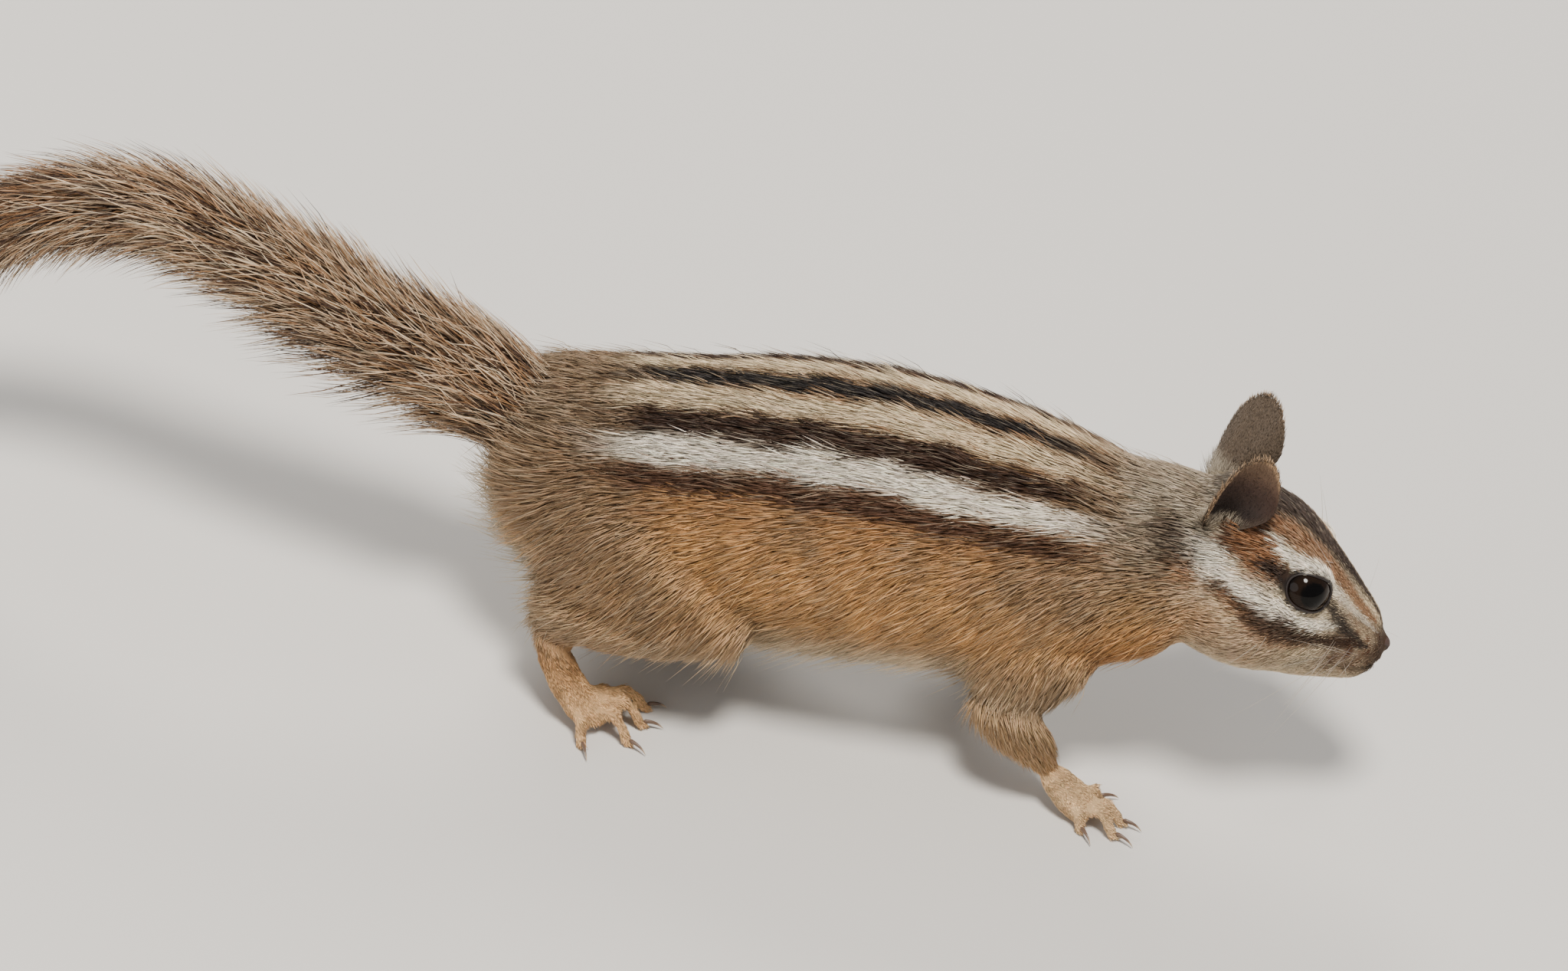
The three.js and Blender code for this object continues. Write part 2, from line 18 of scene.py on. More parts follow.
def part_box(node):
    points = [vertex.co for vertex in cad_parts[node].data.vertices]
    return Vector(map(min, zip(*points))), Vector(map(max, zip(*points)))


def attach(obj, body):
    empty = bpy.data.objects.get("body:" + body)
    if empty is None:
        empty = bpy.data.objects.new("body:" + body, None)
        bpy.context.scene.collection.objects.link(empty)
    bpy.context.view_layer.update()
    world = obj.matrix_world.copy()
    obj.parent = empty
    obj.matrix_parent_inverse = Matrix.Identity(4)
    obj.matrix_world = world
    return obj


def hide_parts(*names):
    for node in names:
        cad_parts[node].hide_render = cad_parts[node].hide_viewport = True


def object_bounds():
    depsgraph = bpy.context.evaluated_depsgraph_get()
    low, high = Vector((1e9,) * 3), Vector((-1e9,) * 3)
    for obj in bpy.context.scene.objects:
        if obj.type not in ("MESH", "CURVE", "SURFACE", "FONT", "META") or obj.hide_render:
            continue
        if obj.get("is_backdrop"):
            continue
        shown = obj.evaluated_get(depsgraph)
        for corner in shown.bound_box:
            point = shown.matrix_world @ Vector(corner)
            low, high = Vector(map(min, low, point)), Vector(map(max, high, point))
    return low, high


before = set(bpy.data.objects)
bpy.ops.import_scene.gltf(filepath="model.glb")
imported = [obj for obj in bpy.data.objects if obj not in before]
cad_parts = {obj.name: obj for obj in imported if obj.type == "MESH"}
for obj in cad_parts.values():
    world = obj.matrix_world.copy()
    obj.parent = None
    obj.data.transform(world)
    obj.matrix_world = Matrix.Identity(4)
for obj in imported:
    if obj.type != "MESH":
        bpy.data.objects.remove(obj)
cad_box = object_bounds()
draw = np.random.default_rng(11)
print("solids:", len(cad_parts))

# %% [markdown]
# ## The animal's frame
# The imported frame's origin lies in the middle of the ground that the animal covers. The left eye is a
# ball whose centre is a named place of the head, so the middle of its box says where the animal's own
# origin went.

# %% Find the animal's frame
MM = 0.001
EYE_RADIUS = 3.5
EYE_PLACE = Vector((5.2, 6.8, 3.6))
HEAD_CENTRE = Vector((52, 0, 33))
HEAD_FRAME = (
    Matrix.Translation(HEAD_CENTRE)
    @ Matrix.Rotation(radians(-15), 4, "X")
    @ Matrix.Rotation(radians(11), 4, "Y")
)
eye_low, eye_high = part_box("eye_left")
ORIGIN = (eye_low + eye_high) / 2 - (HEAD_FRAME @ EYE_PLACE) * MM
TO_FRAME = Matrix.Translation(ORIGIN) @ Matrix.Scale(MM, 4)
HEAD_TURN = np.array(HEAD_FRAME.to_3x3())
SIDES = {"left": 1, "right": -1}
print("the animal's origin in the frame:", [round(x, 5) for x in ORIGIN])


def seen_from_head(points):
    """Places in the head's own level frame."""
    return (points - np.array(HEAD_CENTRE)) @ HEAD_TURN


def out_of_head(points):
    """Places of the head's frame in the animal's."""
    return points @ HEAD_TURN.T + np.array(HEAD_CENTRE)


def length_of(vectors):
    return np.linalg.norm(vectors, axis=-1, keepdims=True)


def unit(vectors):
    return vectors / np.maximum(length_of(vectors), 1e-9)


def ease(low, high, value):
    """0 below low, 1 above high, and a smooth rise between them."""
    t = np.clip((value - low) / (high - low), 0, 1)
    return t * t * (3 - 2 * t)


def bell(value):
    """1 at 0 and a smooth fall to 0 on both sides of it."""
    return np.exp(-(value**2))


def mirrored(at):
    """Places in the head's frame, with those on its right laid over on its left."""
    return at * (1, 0, 1) + np.abs(at) * (0, 1, 0)


def with_head(ways):
    """Ways in the head's frame as ways of the animal."""
    return out_of_head(ways) - np.array(HEAD_CENTRE)

# %% [markdown]
# ## Helpers for pieces
# Every piece starts from a bmesh sphere or from arrays and is shaped in millimetres. It is then moved into
# the frame, rides on the one body and hides any solids that it stands for.

# %% Make a piece
def dress(name, mesh, material, replaced=()):
    """Makes the mesh, still in millimetres, a piece of the model."""
    mesh.transform(TO_FRAME)
    mesh.materials.clear()
    mesh.materials.append(material)
    piece = bpy.data.objects.new(name, mesh)
    bpy.context.scene.collection.objects.link(piece)
    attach(piece, "root")
    if replaced:
        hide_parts(*replaced)
    print(name, "faces:", len(mesh.polygons))


def moulded(around, rings, place, into=None):
    """A sphere whose every point moves to place(u, v): u goes round it and v from end to end."""
    ball = bmesh.new() if into is None else into
    made = bmesh.ops.create_uvsphere(ball, u_segments=around, v_segments=rings, radius=1)["verts"]
    for vert in made:
        x, y, z = vert.co
        u = (np.arctan2(y, x) / (2 * pi)) % 1 if abs(z) < 0.99999 else 0.0
        vert.co = place(u, np.arccos(np.clip(z, -1, 1)) / pi)
    return ball


def finished(ball, name):
    """The bmesh as a mesh, with its faces turned outwards."""
    bmesh.ops.recalc_face_normals(ball, faces=ball.faces)
    mesh = bpy.data.meshes.new(name)
    ball.to_mesh(mesh)
    ball.free()
    mesh.polygons.foreach_set("use_smooth", [True] * len(mesh.polygons))
    return mesh


def round_way(u, v):
    """The way out of a sphere's middle, u round it and v from end to end."""
    return np.array([cos(2 * pi * u) * sin(pi * v), sin(2 * pi * u) * sin(pi * v), cos(pi * v)])


ball = moulded(8, 6, round_way)
print("a coarse ball has", len(ball.verts), "points and", len(ball.faces), "faces")
ball.free()

# %% [markdown]
# ## Helpers for points
# Whole meshes are read and moved as arrays, which is far quicker than point by point.

# %% Read and move points
def points_of(mesh):
    """The places of a mesh's points as an array."""
    found = np.empty(len(mesh.vertices) * 3, np.float32)
    mesh.vertices.foreach_get("co", found)
    return found.reshape(-1, 3).astype(float)


def set_points(mesh, points):
    """Moves the mesh's points to the places of an array."""
    mesh.vertices.foreach_set("co", points.astype(np.float32).ravel())
    mesh.update()


def normals_of(mesh):
    """The ways out of the mesh at its points."""
    found = np.empty(len(mesh.vertices) * 3, np.float32)
    mesh.vertex_normals.foreach_get("vector", found)
    return found.reshape(-1, 3).astype(float)


def corners_of(mesh):
    """The number of the point at every corner of every face."""
    found = np.empty(len(mesh.loops), np.int32)
    mesh.loops.foreach_get("vertex_index", found)
    return found


print("points of the left eye's solid:", len(points_of(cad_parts["eye_left"].data)))

# %% [markdown]
# ## Camera
# The photograph was taken from the animal's right, from well above it and through a long lens, with the
# camera a little out of level. The picture's width covers 200 mm at the animal.

# %% Set the camera
ELEVATION = radians(38)
ROLL = radians(12)
DISTANCE = 1.4
WIDTH_AT_ANIMAL = 0.2
SENSOR = 36
LOOKED_AT = Vector((-9.3, 0, 31.2)) * MM + ORIGIN
back = Vector((0, -cos(ELEVATION), sin(ELEVATION)))
level = Vector((1, 0, 0))
upright = back.cross(level)
right = level * cos(ROLL) + upright * sin(ROLL)
top = back.cross(right)
camera = bpy.data.objects.new("camera", bpy.data.cameras.new("camera"))
bpy.context.scene.collection.objects.link(camera)
camera_turn = Matrix((right, top, back)).transposed().to_4x4()
camera.matrix_world = Matrix.Translation(LOOKED_AT + back * DISTANCE) @ camera_turn
camera.data.sensor_width = SENSOR
camera.data.lens = SENSOR * DISTANCE / WIDTH_AT_ANIMAL
camera.data.clip_start = 0.01
bpy.context.scene.camera = camera
print("lens in mm:", camera.data.lens)

# %% [markdown]
# ## The tail's middle line
# The tail is a thin core with long hair. Its core belongs to the skin, and its hair is set on the same
# line, so the line comes first. It is the line that the solids' locks follow.

# %% Draw the tail's middle line
TAIL_LINE = np.array([
    (-41, 0, 33.6), (-53, 0.3, 39), (-66, 1, 43), (-75, 2, 46.2), (-84, 3, 48.6),
    (-93, 4.5, 49.6), (-101, 5.4, 48.4), (-108, 6, 45.2), (-115, 6.6, 39.6), (-123, 7, 30),
])
TAIL_HAIR = 16  # length of its hair
TAIL_SPREAD = 6.7  # how far out from the core a hair's tip stands
LINE_STEPS = 400


def smooth_line(points, count):
    """A curve through the points as many close points, and how far along it each one is."""
    knots = np.concatenate([[0], np.cumsum(np.sqrt(length_of(np.diff(points, axis=0))[:, 0]))])
    ends = np.vstack([2 * points[0] - points[1], points, 2 * points[-1] - points[-2]])
    span = np.concatenate([[2 * knots[0] - knots[1]], knots, [2 * knots[-1] - knots[-2]]])
    where = np.linspace(knots[0], knots[-1], count)
    i = np.clip(np.searchsorted(knots, where, side="right") - 1, 0, len(knots) - 2)
    t0, t1, t2, t3 = (span[i + k][:, None] for k in range(4))
    p0, p1, p2, p3 = (ends[i + k] for k in range(4))
    w = where[:, None]
    a1 = (t1 - w) / (t1 - t0) * p0 + (w - t0) / (t1 - t0) * p1
    a2 = (t2 - w) / (t2 - t1) * p1 + (w - t1) / (t2 - t1) * p2
    a3 = (t3 - w) / (t3 - t2) * p2 + (w - t2) / (t3 - t2) * p3
    b1 = (t2 - w) / (t2 - t0) * a1 + (w - t0) / (t2 - t0) * a2
    b2 = (t3 - w) / (t3 - t1) * a2 + (w - t1) / (t3 - t1) * a3
    line = (t2 - w) / (t2 - t1) * b1 + (w - t1) / (t2 - t1) * b2
    return line, np.concatenate([[0], np.cumsum(length_of(np.diff(line, axis=0))[:, 0])])


tail_points, tail_along = smooth_line(TAIL_LINE, LINE_STEPS)
tail_forward = unit(np.gradient(tail_points, axis=0))
print("tail line in mm:", round(float(tail_along[-1]), 1))


def beside_tail(along, angle, out):
    """Places beside the tail: how far along it, which way round and how far out. Arrays of one length."""
    held = np.clip(along, 0, tail_along[-1])
    at, forward = (
        np.stack([np.interp(held, tail_along, values[:, k]) for k in range(3)], -1)
        for values in (tail_points, tail_forward)
    )
    forward = unit(forward)
    side = unit(np.array([0, 1, 0]) - forward * forward[..., 1:2])
    rise = np.cross(side, forward)
    turned = side * np.cos(angle)[..., None] + rise * np.sin(angle)[..., None]
    return at + forward * (along - held)[..., None] + turned * out[..., None]

# %% [markdown]
# ## The toes
# Each toe has a base, a knuckle and a claw. The skin keeps its own toes from the solids, but the claws are
# made anew, so their places are listed here.

# %% List the toes
CLAW_LENGTH = 2.3
TOE_RADIUS = 0.95
TOE_SINK = 0.22  # how much lower than its radius a toe's tip lies
# each toe: its base, its knuckle and its claw's tip, foot by foot as on the solids
TOES = np.array([
    [(-28.4, -14.6, 3.6), (-26.2, -12.4, 2.6), (-23.4, -9.6, 0.6)],
    [(-27.2, -14.8, 3.4), (-22.8, -12.9, 3.7), (-18.1, -10.9, 0.6)],
    [(-27.0, -16.2, 3.2), (-22.4, -15.8, 3.6), (-17.9, -15.2, 0.6)],
    [(-27.4, -17.8, 3.1), (-23.4, -19.1, 3.4), (-19.4, -21.2, 0.6)],
    [(-29.6, -18.2, 3.2), (-28.2, -21.2, 2.6), (-26.6, -24.8, 0.6)],
    [(-19.4, 14.6, 2.0), (-15.8, 12.9, 2.0), (-11.6, 11.4, 0.6)],
    [(-16.4, 15.0, 2.2), (-11.0, 14.2, 2.8), (-5.2, 13.4, 0.6)],
    [(-16.2, 16.6, 2.2), (-10.0, 16.8, 2.9), (-3.8, 17.0, 0.6)],
    [(-16.4, 18.2, 2.2), (-10.8, 19.3, 2.8), (-4.8, 20.6, 0.6)],
    [(-18.8, 18.6, 2.0), (-14.6, 20.8, 2.2), (-10.2, 23.0, 0.6)],
    [(36.2, -12.8, 2.4), (38.4, -11.2, 2.7), (41.2, -9.8, 0.6)],
    [(37.0, -14.2, 2.4), (40.4, -14.6, 2.9), (44.8, -15.5, 0.6)],
    [(36.8, -15.8, 2.4), (39.8, -17.2, 2.9), (44.0, -19.0, 0.6)],
    [(35.4, -16.4, 2.2), (36.8, -18.0, 2.4), (38.6, -20.4, 0.6)],
    [(21.0, 11.8, 2.4), (23.4, 10.6, 2.6), (26.4, 9.4, 0.6)],
    [(21.8, 13.0, 2.4), (25.4, 12.7, 2.8), (29.8, 12.4, 0.6)],
    [(21.8, 14.4, 2.4), (25.2, 14.9, 2.8), (29.4, 15.8, 0.6)],
    [(20.4, 15.2, 2.2), (22.6, 16.5, 2.4), (25.4, 18.2, 0.6)],
])
claw_way = TOES[:, 2] - TOES[:, 1]
claw_way[:, 2] = 0
claw_way = unit(claw_way)
toe_tips = TOES[:, 2] - claw_way * CLAW_LENGTH
toe_tips[:, 2] = TOE_RADIUS - TOE_SINK
print("toes:", len(TOES))

# %% [markdown]
# ## The skin
# On the real animal one skin covers everything. The solids are parted by thin cuts, so their copies are
# swollen until the cuts close, fused by a voxel remesh, and smoothed: long on the trunk, and hardly on the
# face and toes. At the end the skin sinks under the solids by the depth of the coat.

# %% Fuse the flesh into one skin
SWELL = 0.3
VOXEL = 0.52
# how thick the tail's core is along its line
TAIL_CORE = [(-8, 6.4), (0, 5.4), (8, 4.3), (20, 3.4), (50, 2.7), (76, 1.9), (92, 1.1)]
not_flesh = ("eye", "ear", "nose", "tail")
flesh = [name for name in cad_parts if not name.startswith(not_flesh)]
TO_ANIMAL = TO_FRAME.inverted()
CLAW_CORE = 0.4  # what the skin keeps of the width of a solid claw
CLAW_STUB = 0.5  # and how far it follows the claw
body = bmesh.new()
node_of_face = []
for name in flesh + ["eye_left", "eye_right", "nose"]:
    body.from_mesh(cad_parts[name].data)
    node_of_face += [name] * (len(body.faces) - len(node_of_face))
body.transform(TO_ANIMAL)
body.faces.ensure_lookup_table()
node_tree = BVHTree.FromBMesh(body)
bmesh.ops.remove_doubles(body, verts=body.verts, dist=0.002)
for tip, way in zip(toe_tips, claw_way):
    for vert in body.verts:
        off = np.array(vert.co) - tip
        ahead = off @ way
        beside = off - ahead * way
        if 0.2 < ahead < 4 and np.hypot(*beside[:2]) < 1.2 and vert.co.z < 3:
            vert.co = Vector(tip + way * min(ahead, CLAW_STUB) + beside * CLAW_CORE)
body.normal_update()
for vert in body.verts:
    vert.co += vert.normal * SWELL


def tail_core_place(u, v):
    along = np.array([100 * v - 8])
    out = np.interp(along, *zip(*TAIL_CORE)) * min(1, 12 * v, 12 - 12 * v) ** 0.5
    return Vector(beside_tail(along, np.array([2 * pi * u]), out)[0])


moulded(20, 60, tail_core_place, body)
skin_mesh = finished(body, "skin")
skin = bpy.data.objects.new("skin_form", skin_mesh)
bpy.context.scene.collection.objects.link(skin)


def settle(piece):
    """The piece's mesh with its modifiers worked in."""
    graph = bpy.context.evaluated_depsgraph_get()
    mesh = bpy.data.meshes.new_from_object(piece.evaluated_get(graph))
    piece.modifiers.clear()
    piece.data = mesh
    return mesh


fuse = skin.modifiers.new("fuse", "REMESH")
fuse.mode = "VOXEL"
fuse.voxel_size = VOXEL
skin_mesh = settle(skin)
print("fused skin:", len(skin_mesh.vertices), "points")

# %% [markdown]
# ## Regions of the body
# The coat is long on the haunch, short on the face, and lies another way on each leg. So every point of the
# skin is told which part of the body it belongs to. The nearest solid says so, and the shares are spread
# over the neighbours, so that one region passes smoothly into the next.

# %% Tell the regions apart
TAIL_BEGINS = -44
OFF_THE_SOLIDS = 1.2
REGIONS = [
    "head", "neck", "trunk", "haunch", "shoulder", "shank", "forearm", "hind_foot", "fore_foot", "tail",
]
REGION_OF = {
    "head": "head", "lower_jaw": "head", "nose": "head", "eye_left": "head", "eye_right": "head",
    "neck": "neck", "chest": "trunk", "belly": "trunk", "rump": "trunk",
    "thigh": "haunch", "shank": "shank", "hind_foot": "hind_foot",
    "upper_arm": "shoulder", "forearm": "forearm", "fore_foot": "fore_foot",
}


def region_of(point):
    """The region's number: the tail's is for places behind the rump that no other solid is near."""
    _, _, face, far = node_tree.find_nearest(point)
    if far > OFF_THE_SOLIDS and point.x < TAIL_BEGINS:
        return REGIONS.index("tail")
    name = node_of_face[face]
    for side in ("_left", "_right"):
        name = name.removesuffix(side) if name.removesuffix(side) in REGION_OF else name
    return REGIONS.index(REGION_OF[name])


def edges_of(mesh):
    """The numbers of the two points of every edge."""
    found = np.empty(len(mesh.edges) * 2, np.int32)
    mesh.edges.foreach_get("vertices", found)
    return found.reshape(-1, 2)


def spread(values, edges, rounds):
    """Each point's values, averaged with its neighbours' again and again."""
    count = len(values)
    degree = np.bincount(edges.ravel(), minlength=count)[:, None]
    for _ in range(rounds):
        total = np.stack([
            np.bincount(edges[:, 0], column[edges[:, 1]], count)
            + np.bincount(edges[:, 1], column[edges[:, 0]], count)
            for column in values.T
        ], -1)
        values = (values + total / degree) / 2
    return values


def shares_of(mesh, rounds):
    """Each point's share of every region, spread over that many rounds of neighbours."""
    numbers = np.array([region_of(Vector(p)) for p in points_of(mesh)])
    return spread(np.eye(len(REGIONS))[numbers], edges_of(mesh), rounds)


def share_of(shares, *names):
    """Each place's share of the named regions together."""
    return shares[:, [REGIONS.index(name) for name in names]].sum(1)


shares = shares_of(skin_mesh, 12)
print("points by region:", dict(zip(REGIONS, shares.sum(0).astype(int).tolist())))

# %% [markdown]
# ## Smoothing
# A solid's facets are several millimetres wide on the trunk, and the toes are two millimetres thick, so one
# amount of smoothing can't serve both. A vertex group gives each region its own.

# %% Smooth the skin
SOFTENING = {
    "head": 0.3, "neck": 0.9, "trunk": 1, "haunch": 1, "shoulder": 1, "shank": 0.9, "forearm": 0.6,
    "hind_foot": 0.07, "fore_foot": 0.06, "tail": 0.3,
}
soften = shares @ np.array([SOFTENING[name] for name in REGIONS])
SOFT_LEVELS = 20
face_ahead = seen_from_head(points_of(skin_mesh))[:, 0]
soften = soften * (1 - 0.55 * ease(4, 9, face_ahead))
group = skin.vertex_groups.new(name="soften")
for level in range(1, SOFT_LEVELS + 1):
    group.add(np.where(np.round(soften * SOFT_LEVELS) == level)[0].tolist(), level / SOFT_LEVELS, "REPLACE")
smooth = skin.modifiers.new("smooth", "SMOOTH")
smooth.vertex_group = "soften"
smooth.factor = 0.5
smooth.iterations = 60
skin_mesh = settle(skin)
print("mean softening:", round(float(soften.mean()), 2))

# %% [markdown]
# ## A finer face
# The lids, the line of the mouth and the nostrils need a finer skin than the back does, so the faces of the
# muzzle and about the eyes are divided once more.

# %% Divide the face
FINE_ROUND_EYE = 6
FINE_AHEAD_OF = 11
fine = bmesh.new()
fine.from_mesh(skin_mesh)
places = seen_from_head(np.array([vert.co for vert in fine.verts]))
eye_at = np.array(EYE_PLACE)
near_eye = length_of(mirrored(places) - eye_at)[:, 0] < FINE_ROUND_EYE
chosen = set(np.where(near_eye | (places[:, 0] > FINE_AHEAD_OF))[0])
edges = [edge for edge in fine.edges if all(vert.index in chosen for vert in edge.verts)]
bmesh.ops.subdivide_edges(fine, edges=edges, cuts=1, use_grid_fill=True, smooth=0.4)
bmesh.ops.triangulate(fine, faces=fine.faces)
fine.to_mesh(skin_mesh)
fine.free()
skin_mesh.update()
print("skin triangles:", len(skin_mesh.polygons))

# %% [markdown]
# ## Coat, region by region
# One row a region: how deep the coat is over the skin, how long and how wide its tufts are, how many stand
# on a square millimetre, and how far they stand up at the root, all as the coat looks in the photograph.

# %% List the coats
COATS = {
    # region: depth, length, width, tufts a square millimetre, rise in degrees
    "head": (0.5, 2.1, 0.15, 21, 23),
    "neck": (0.9, 4.3, 0.18, 12.5, 25),
    "trunk": (0.9, 4.8, 0.18, 12, 25),
    "haunch": (1.1, 5.2, 0.18, 12, 25),
    "shoulder": (1.0, 4.1, 0.18, 12, 24),
    "shank": (0.7, 2.8, 0.17, 13.5, 24),
    "forearm": (0.5, 2.4, 0.16, 15, 24),
    "hind_foot": (0.1, 1.0, 0.13, 23, 13),
    "fore_foot": (0.1, 0.85, 0.12, 23, 13),
    "tail": (0.2, 3.0, 0.3, 0, 30),
}
coat_rows = np.array([COATS[name] for name in REGIONS])
print("coats:", len(coat_rows))

# %% [markdown]
# ## Sink the skin and carve the face
# The skin goes under the solids by the depth of the coat, but not under the soles, which rest on the
# ground. Then the sockets are opened to the almond between the lids, and the line of the mouth is drawn in.

# %% Sink and carve
EYE_AXIS = unit(np.array([0.36, 0.91, 0.2]))
EYE_AHEAD = unit(np.array([1, 0, 0]) - EYE_AXIS * EYE_AXIS[0])
EYE_UP = unit(np.cross(EYE_AHEAD, EYE_AXIS))
MOUTH_LINE = [(11.4, -6.4), (14, -5.7), (18, -4.6), (22, -4.0)]
NOSE_PLACE = np.array([17.5, 0, -2.2])
NOSTRIL = NOSE_PLACE + (1.25, 1.0, -0.25)

shares = shares_of(skin_mesh, 30)
points = points_of(skin_mesh)
normals = normals_of(skin_mesh)
depth = shares @ coat_rows[:, 0] + SWELL
on_head = seen_from_head(points)
head_share = share_of(shares, "head")
depth -= head_share * 0.3 * ease(6, 13, on_head[:, 0])
sole = ease(2.2, 0.8, points[:, 2]) * ease(-0.2, -0.7, normals[:, 2])
depth = depth * (1 - sole) + SWELL * sole
points -= normals * depth[:, None]
points[:, 2] = np.maximum(points[:, 2], 0.02)


def lid_margin(turn):
    """Degrees from the eye's axis to the lids' edge: a turn of 0 is ahead and a quarter turn is up."""
    corner = bell(((turn + 0.45 + pi) % (2 * pi) - pi) / 0.32)
    behind = bell(((turn - 2.8 + pi) % (2 * pi) - pi) / 0.4)
    return 60 - 20 * np.sin(turn) ** 2 + 5 * corner + 3 * behind


def beside_eye(points, side):
    """How far each place is from the eye's centre, its degrees past the lids' edge and its way out."""
    off = seen_from_head(points) * (1, side, 1) - eye_at
    far = length_of(off)
    way = off / far
    angle = np.degrees(np.arccos(np.clip(way @ EYE_AXIS, -1, 1)))
    return far[:, 0], angle - lid_margin(np.arctan2(way @ EYE_UP, way @ EYE_AHEAD)), way


LID_HEIGHT = EYE_RADIUS + 0.24
SOCKET_DEPTH = 0.5
for side in SIDES.values():
    far, past, way = beside_eye(points, side)
    target = EYE_RADIUS - SOCKET_DEPTH + (LID_HEIGHT - EYE_RADIUS + SOCKET_DEPTH) * ease(-5, 0, past)
    reach = ease(38, 12, past) * ease(5.4, 4.6, far)
    points += ((target - far) * reach)[:, None] * with_head(way * (1, side, 1))

on_head = seen_from_head(points)
lip = on_head[:, 2] - np.interp(on_head[:, 0], *zip(*MOUTH_LINE))
crease = bell(lip / 0.3) * ease(11.2, 12.2, on_head[:, 0]) * head_share
swelling = bell((lip + 0.75) / 0.5) * ease(11.2, 12.6, on_head[:, 0]) * head_share
set_points(skin_mesh, points)
normals = normals_of(skin_mesh)
points += normals * (0.12 * swelling - 0.5 * crease)[:, None]
set_points(skin_mesh, points)
normals = normals_of(skin_mesh)
print("skin from", points.min(0).round(1), "to", points.max(0).round(1))

# %% [markdown]
# ## Markings
# The same markings colour the skin and the coat, so they are functions of a place on the body. On the trunk
# a stripe keeps its angle from the middle of the back, and on the head each stripe is a row of places ahead
# with its angle round the head and half its width.

# %% List the colours and stripes
def paint(red, green, blue):
    """A colour, given from 0 to 255, as the linear numbers that a shader wants."""
    value = np.array([red, green, blue]) / 255
    return np.where(value < 0.04045, value / 12.92, ((value + 0.055) / 1.055) ** 2.4)


BLACK, UMBER, RUST = paint(38, 32, 29), paint(88, 60, 42), paint(141, 97, 64)
CINNAMON, FLANK, BUFF = paint(170, 118, 70), paint(212, 160, 100), paint(216, 195, 160)
CREAM, WHITE, GRIZZLE = paint(222, 200, 166), paint(238, 229, 212), paint(136, 113, 88)
GREY, CROWN, SHANK = paint(190, 176, 154), paint(62, 49, 41), paint(176, 130, 84)
TAWNY, FROST, PAW = paint(160, 112, 68), paint(226, 208, 178), paint(226, 184, 134)
TRUNK_MIDDLE = [
    (-46, 31), (-40, 29), (-33, 27.4), (-22, 27.8), (-10, 29.4), (5, 31), (18, 30.6), (34, 29.8), (47, 33.4)
]
TRUNK_TOP = [
    (-46, 6), (-40, 12.8), (-33, 16.4), (-22, 18.3), (-10, 19.1), (5, 18.6), (18, 17.9), (34, 15.4),
    (47, 12.9),
]
TRUNK_HALF = [
    (-46, 7), (-40, 12), (-33, 14.2), (-22, 15.6), (-10, 17.4), (5, 17.6), (18, 16.2), (34, 12.8),
    (47, 12.4),
]
BACK_STRIPES = [
    # each: degrees from the middle of the back, half its width in degrees, colour
    (0, 6, BLACK), (13.8, 6, BUFF), (27.6, 6.8, UMBER * 0.45), (41.2, 6.6, WHITE), (53.4, 5, UMBER * 0.95)
]
HEAD_STRIPES = [
    # each: colour, strength, then rows of ahead, angle round the head, half its width in degrees
    (RUST, 0.85, [
        (-1.6, 27, 0), (0.6, 28, 7), (2.6, 29, 9), (4.7, 30, 10), (8, 29, 10), (11.4, 33, 10),
        (14.6, 44, 9), (17.4, 52, 0),
    ]),
    (WHITE, 1.0, [
        (-0.9, 35, 0), (0.4, 39, 3), (1.6, 42.5, 4.5), (2.9, 45.5, 5), (4.5, 45, 5), (6.6, 44, 5),
        (8.6, 44.5, 5.5), (10, 47, 5.5), (12.3, 53, 5), (14.5, 59, 4), (16.4, 67, 3), (17.4, 72, 0),
    ]),
    (RUST, 1.0, [
        (-4.2, 41, 0), (-3.4, 43, 9), (-2.4, 46.5, 14), (-1.4, 49.5, 15), (-0.4, 52.5, 13), (0.8, 55.5, 10),
        (2.0, 57.5, 7.5), (3.8, 59, 0),
    ]),
    (BLACK, 0.9, [
        (-1.6, 55, 0), (0.2, 56.5, 4), (1.2, 57, 6), (2.6, 58, 7), (4, 60, 7), (8.4, 57, 5), (9.8, 62, 7),
        (11.3, 73, 9), (13.1, 84, 10), (14.9, 94, 9), (16.4, 98, 0),
    ]),
    (WHITE, 1.0, [
        (-11.0, 64, 0), (-9.4, 65, 11), (-6.8, 64, 14), (-5, 67, 11), (-3.5, 72, 8), (-1.5, 75, 6.5),
        (0, 76.5, 6), (3, 79.5, 6), (6, 83, 5.5), (8.3, 84, 5), (10, 80, 5), (11.6, 78, 0),
    ]),
    (RUST, 0.7, [(-5, 80, 0), (-2.4, 85, 4), (0.9, 92, 5.5), (4, 97, 5.5), (7, 102, 5), (9.6, 107, 0)]),
    (UMBER * 0.5, 0.95, [
        (-5.6, 75, 0), (-4.5, 77, 4), (-2.8, 80.5, 3.5), (-1, 83.5, 4.5), (1.8, 88, 7), (4.4, 91, 8),
        (7.5, 95, 8), (10.4, 98, 8), (13, 96, 9), (15.5, 95, 0),
    ]),
]
FACE_PATCHES = [
    # each: colour, strength, the place in the head's frame on its left, how far it spreads
    (UMBER * 0.32, 1.0, (-11.0, 8.6, 5.4), 2.6), (UMBER * 0.35, 1.0, (-9.6, 10.2, 2.8), 2.1),
    (RUST, 0.85, (-8.2, 10.8, 0.8), 1.6), (GREY * 0.8, 0.6, (-8.2, 8.6, 6.4), 1.8),
    (CINNAMON, 0.5, (-4.5, 11.2, -2.5), 3.4), (FLANK, 0.8, (-12, 8.6, -8.0), 5.5),
]
print("stripes of a side:", len(BACK_STRIPES), "on the back and", len(HEAD_STRIPES), "on the head")

# %% [markdown]
# ## Colours at a place
# Each function takes places on the body and gives a colour for each. A little noise moves the edges of the
# stripes, so that none is ruled.

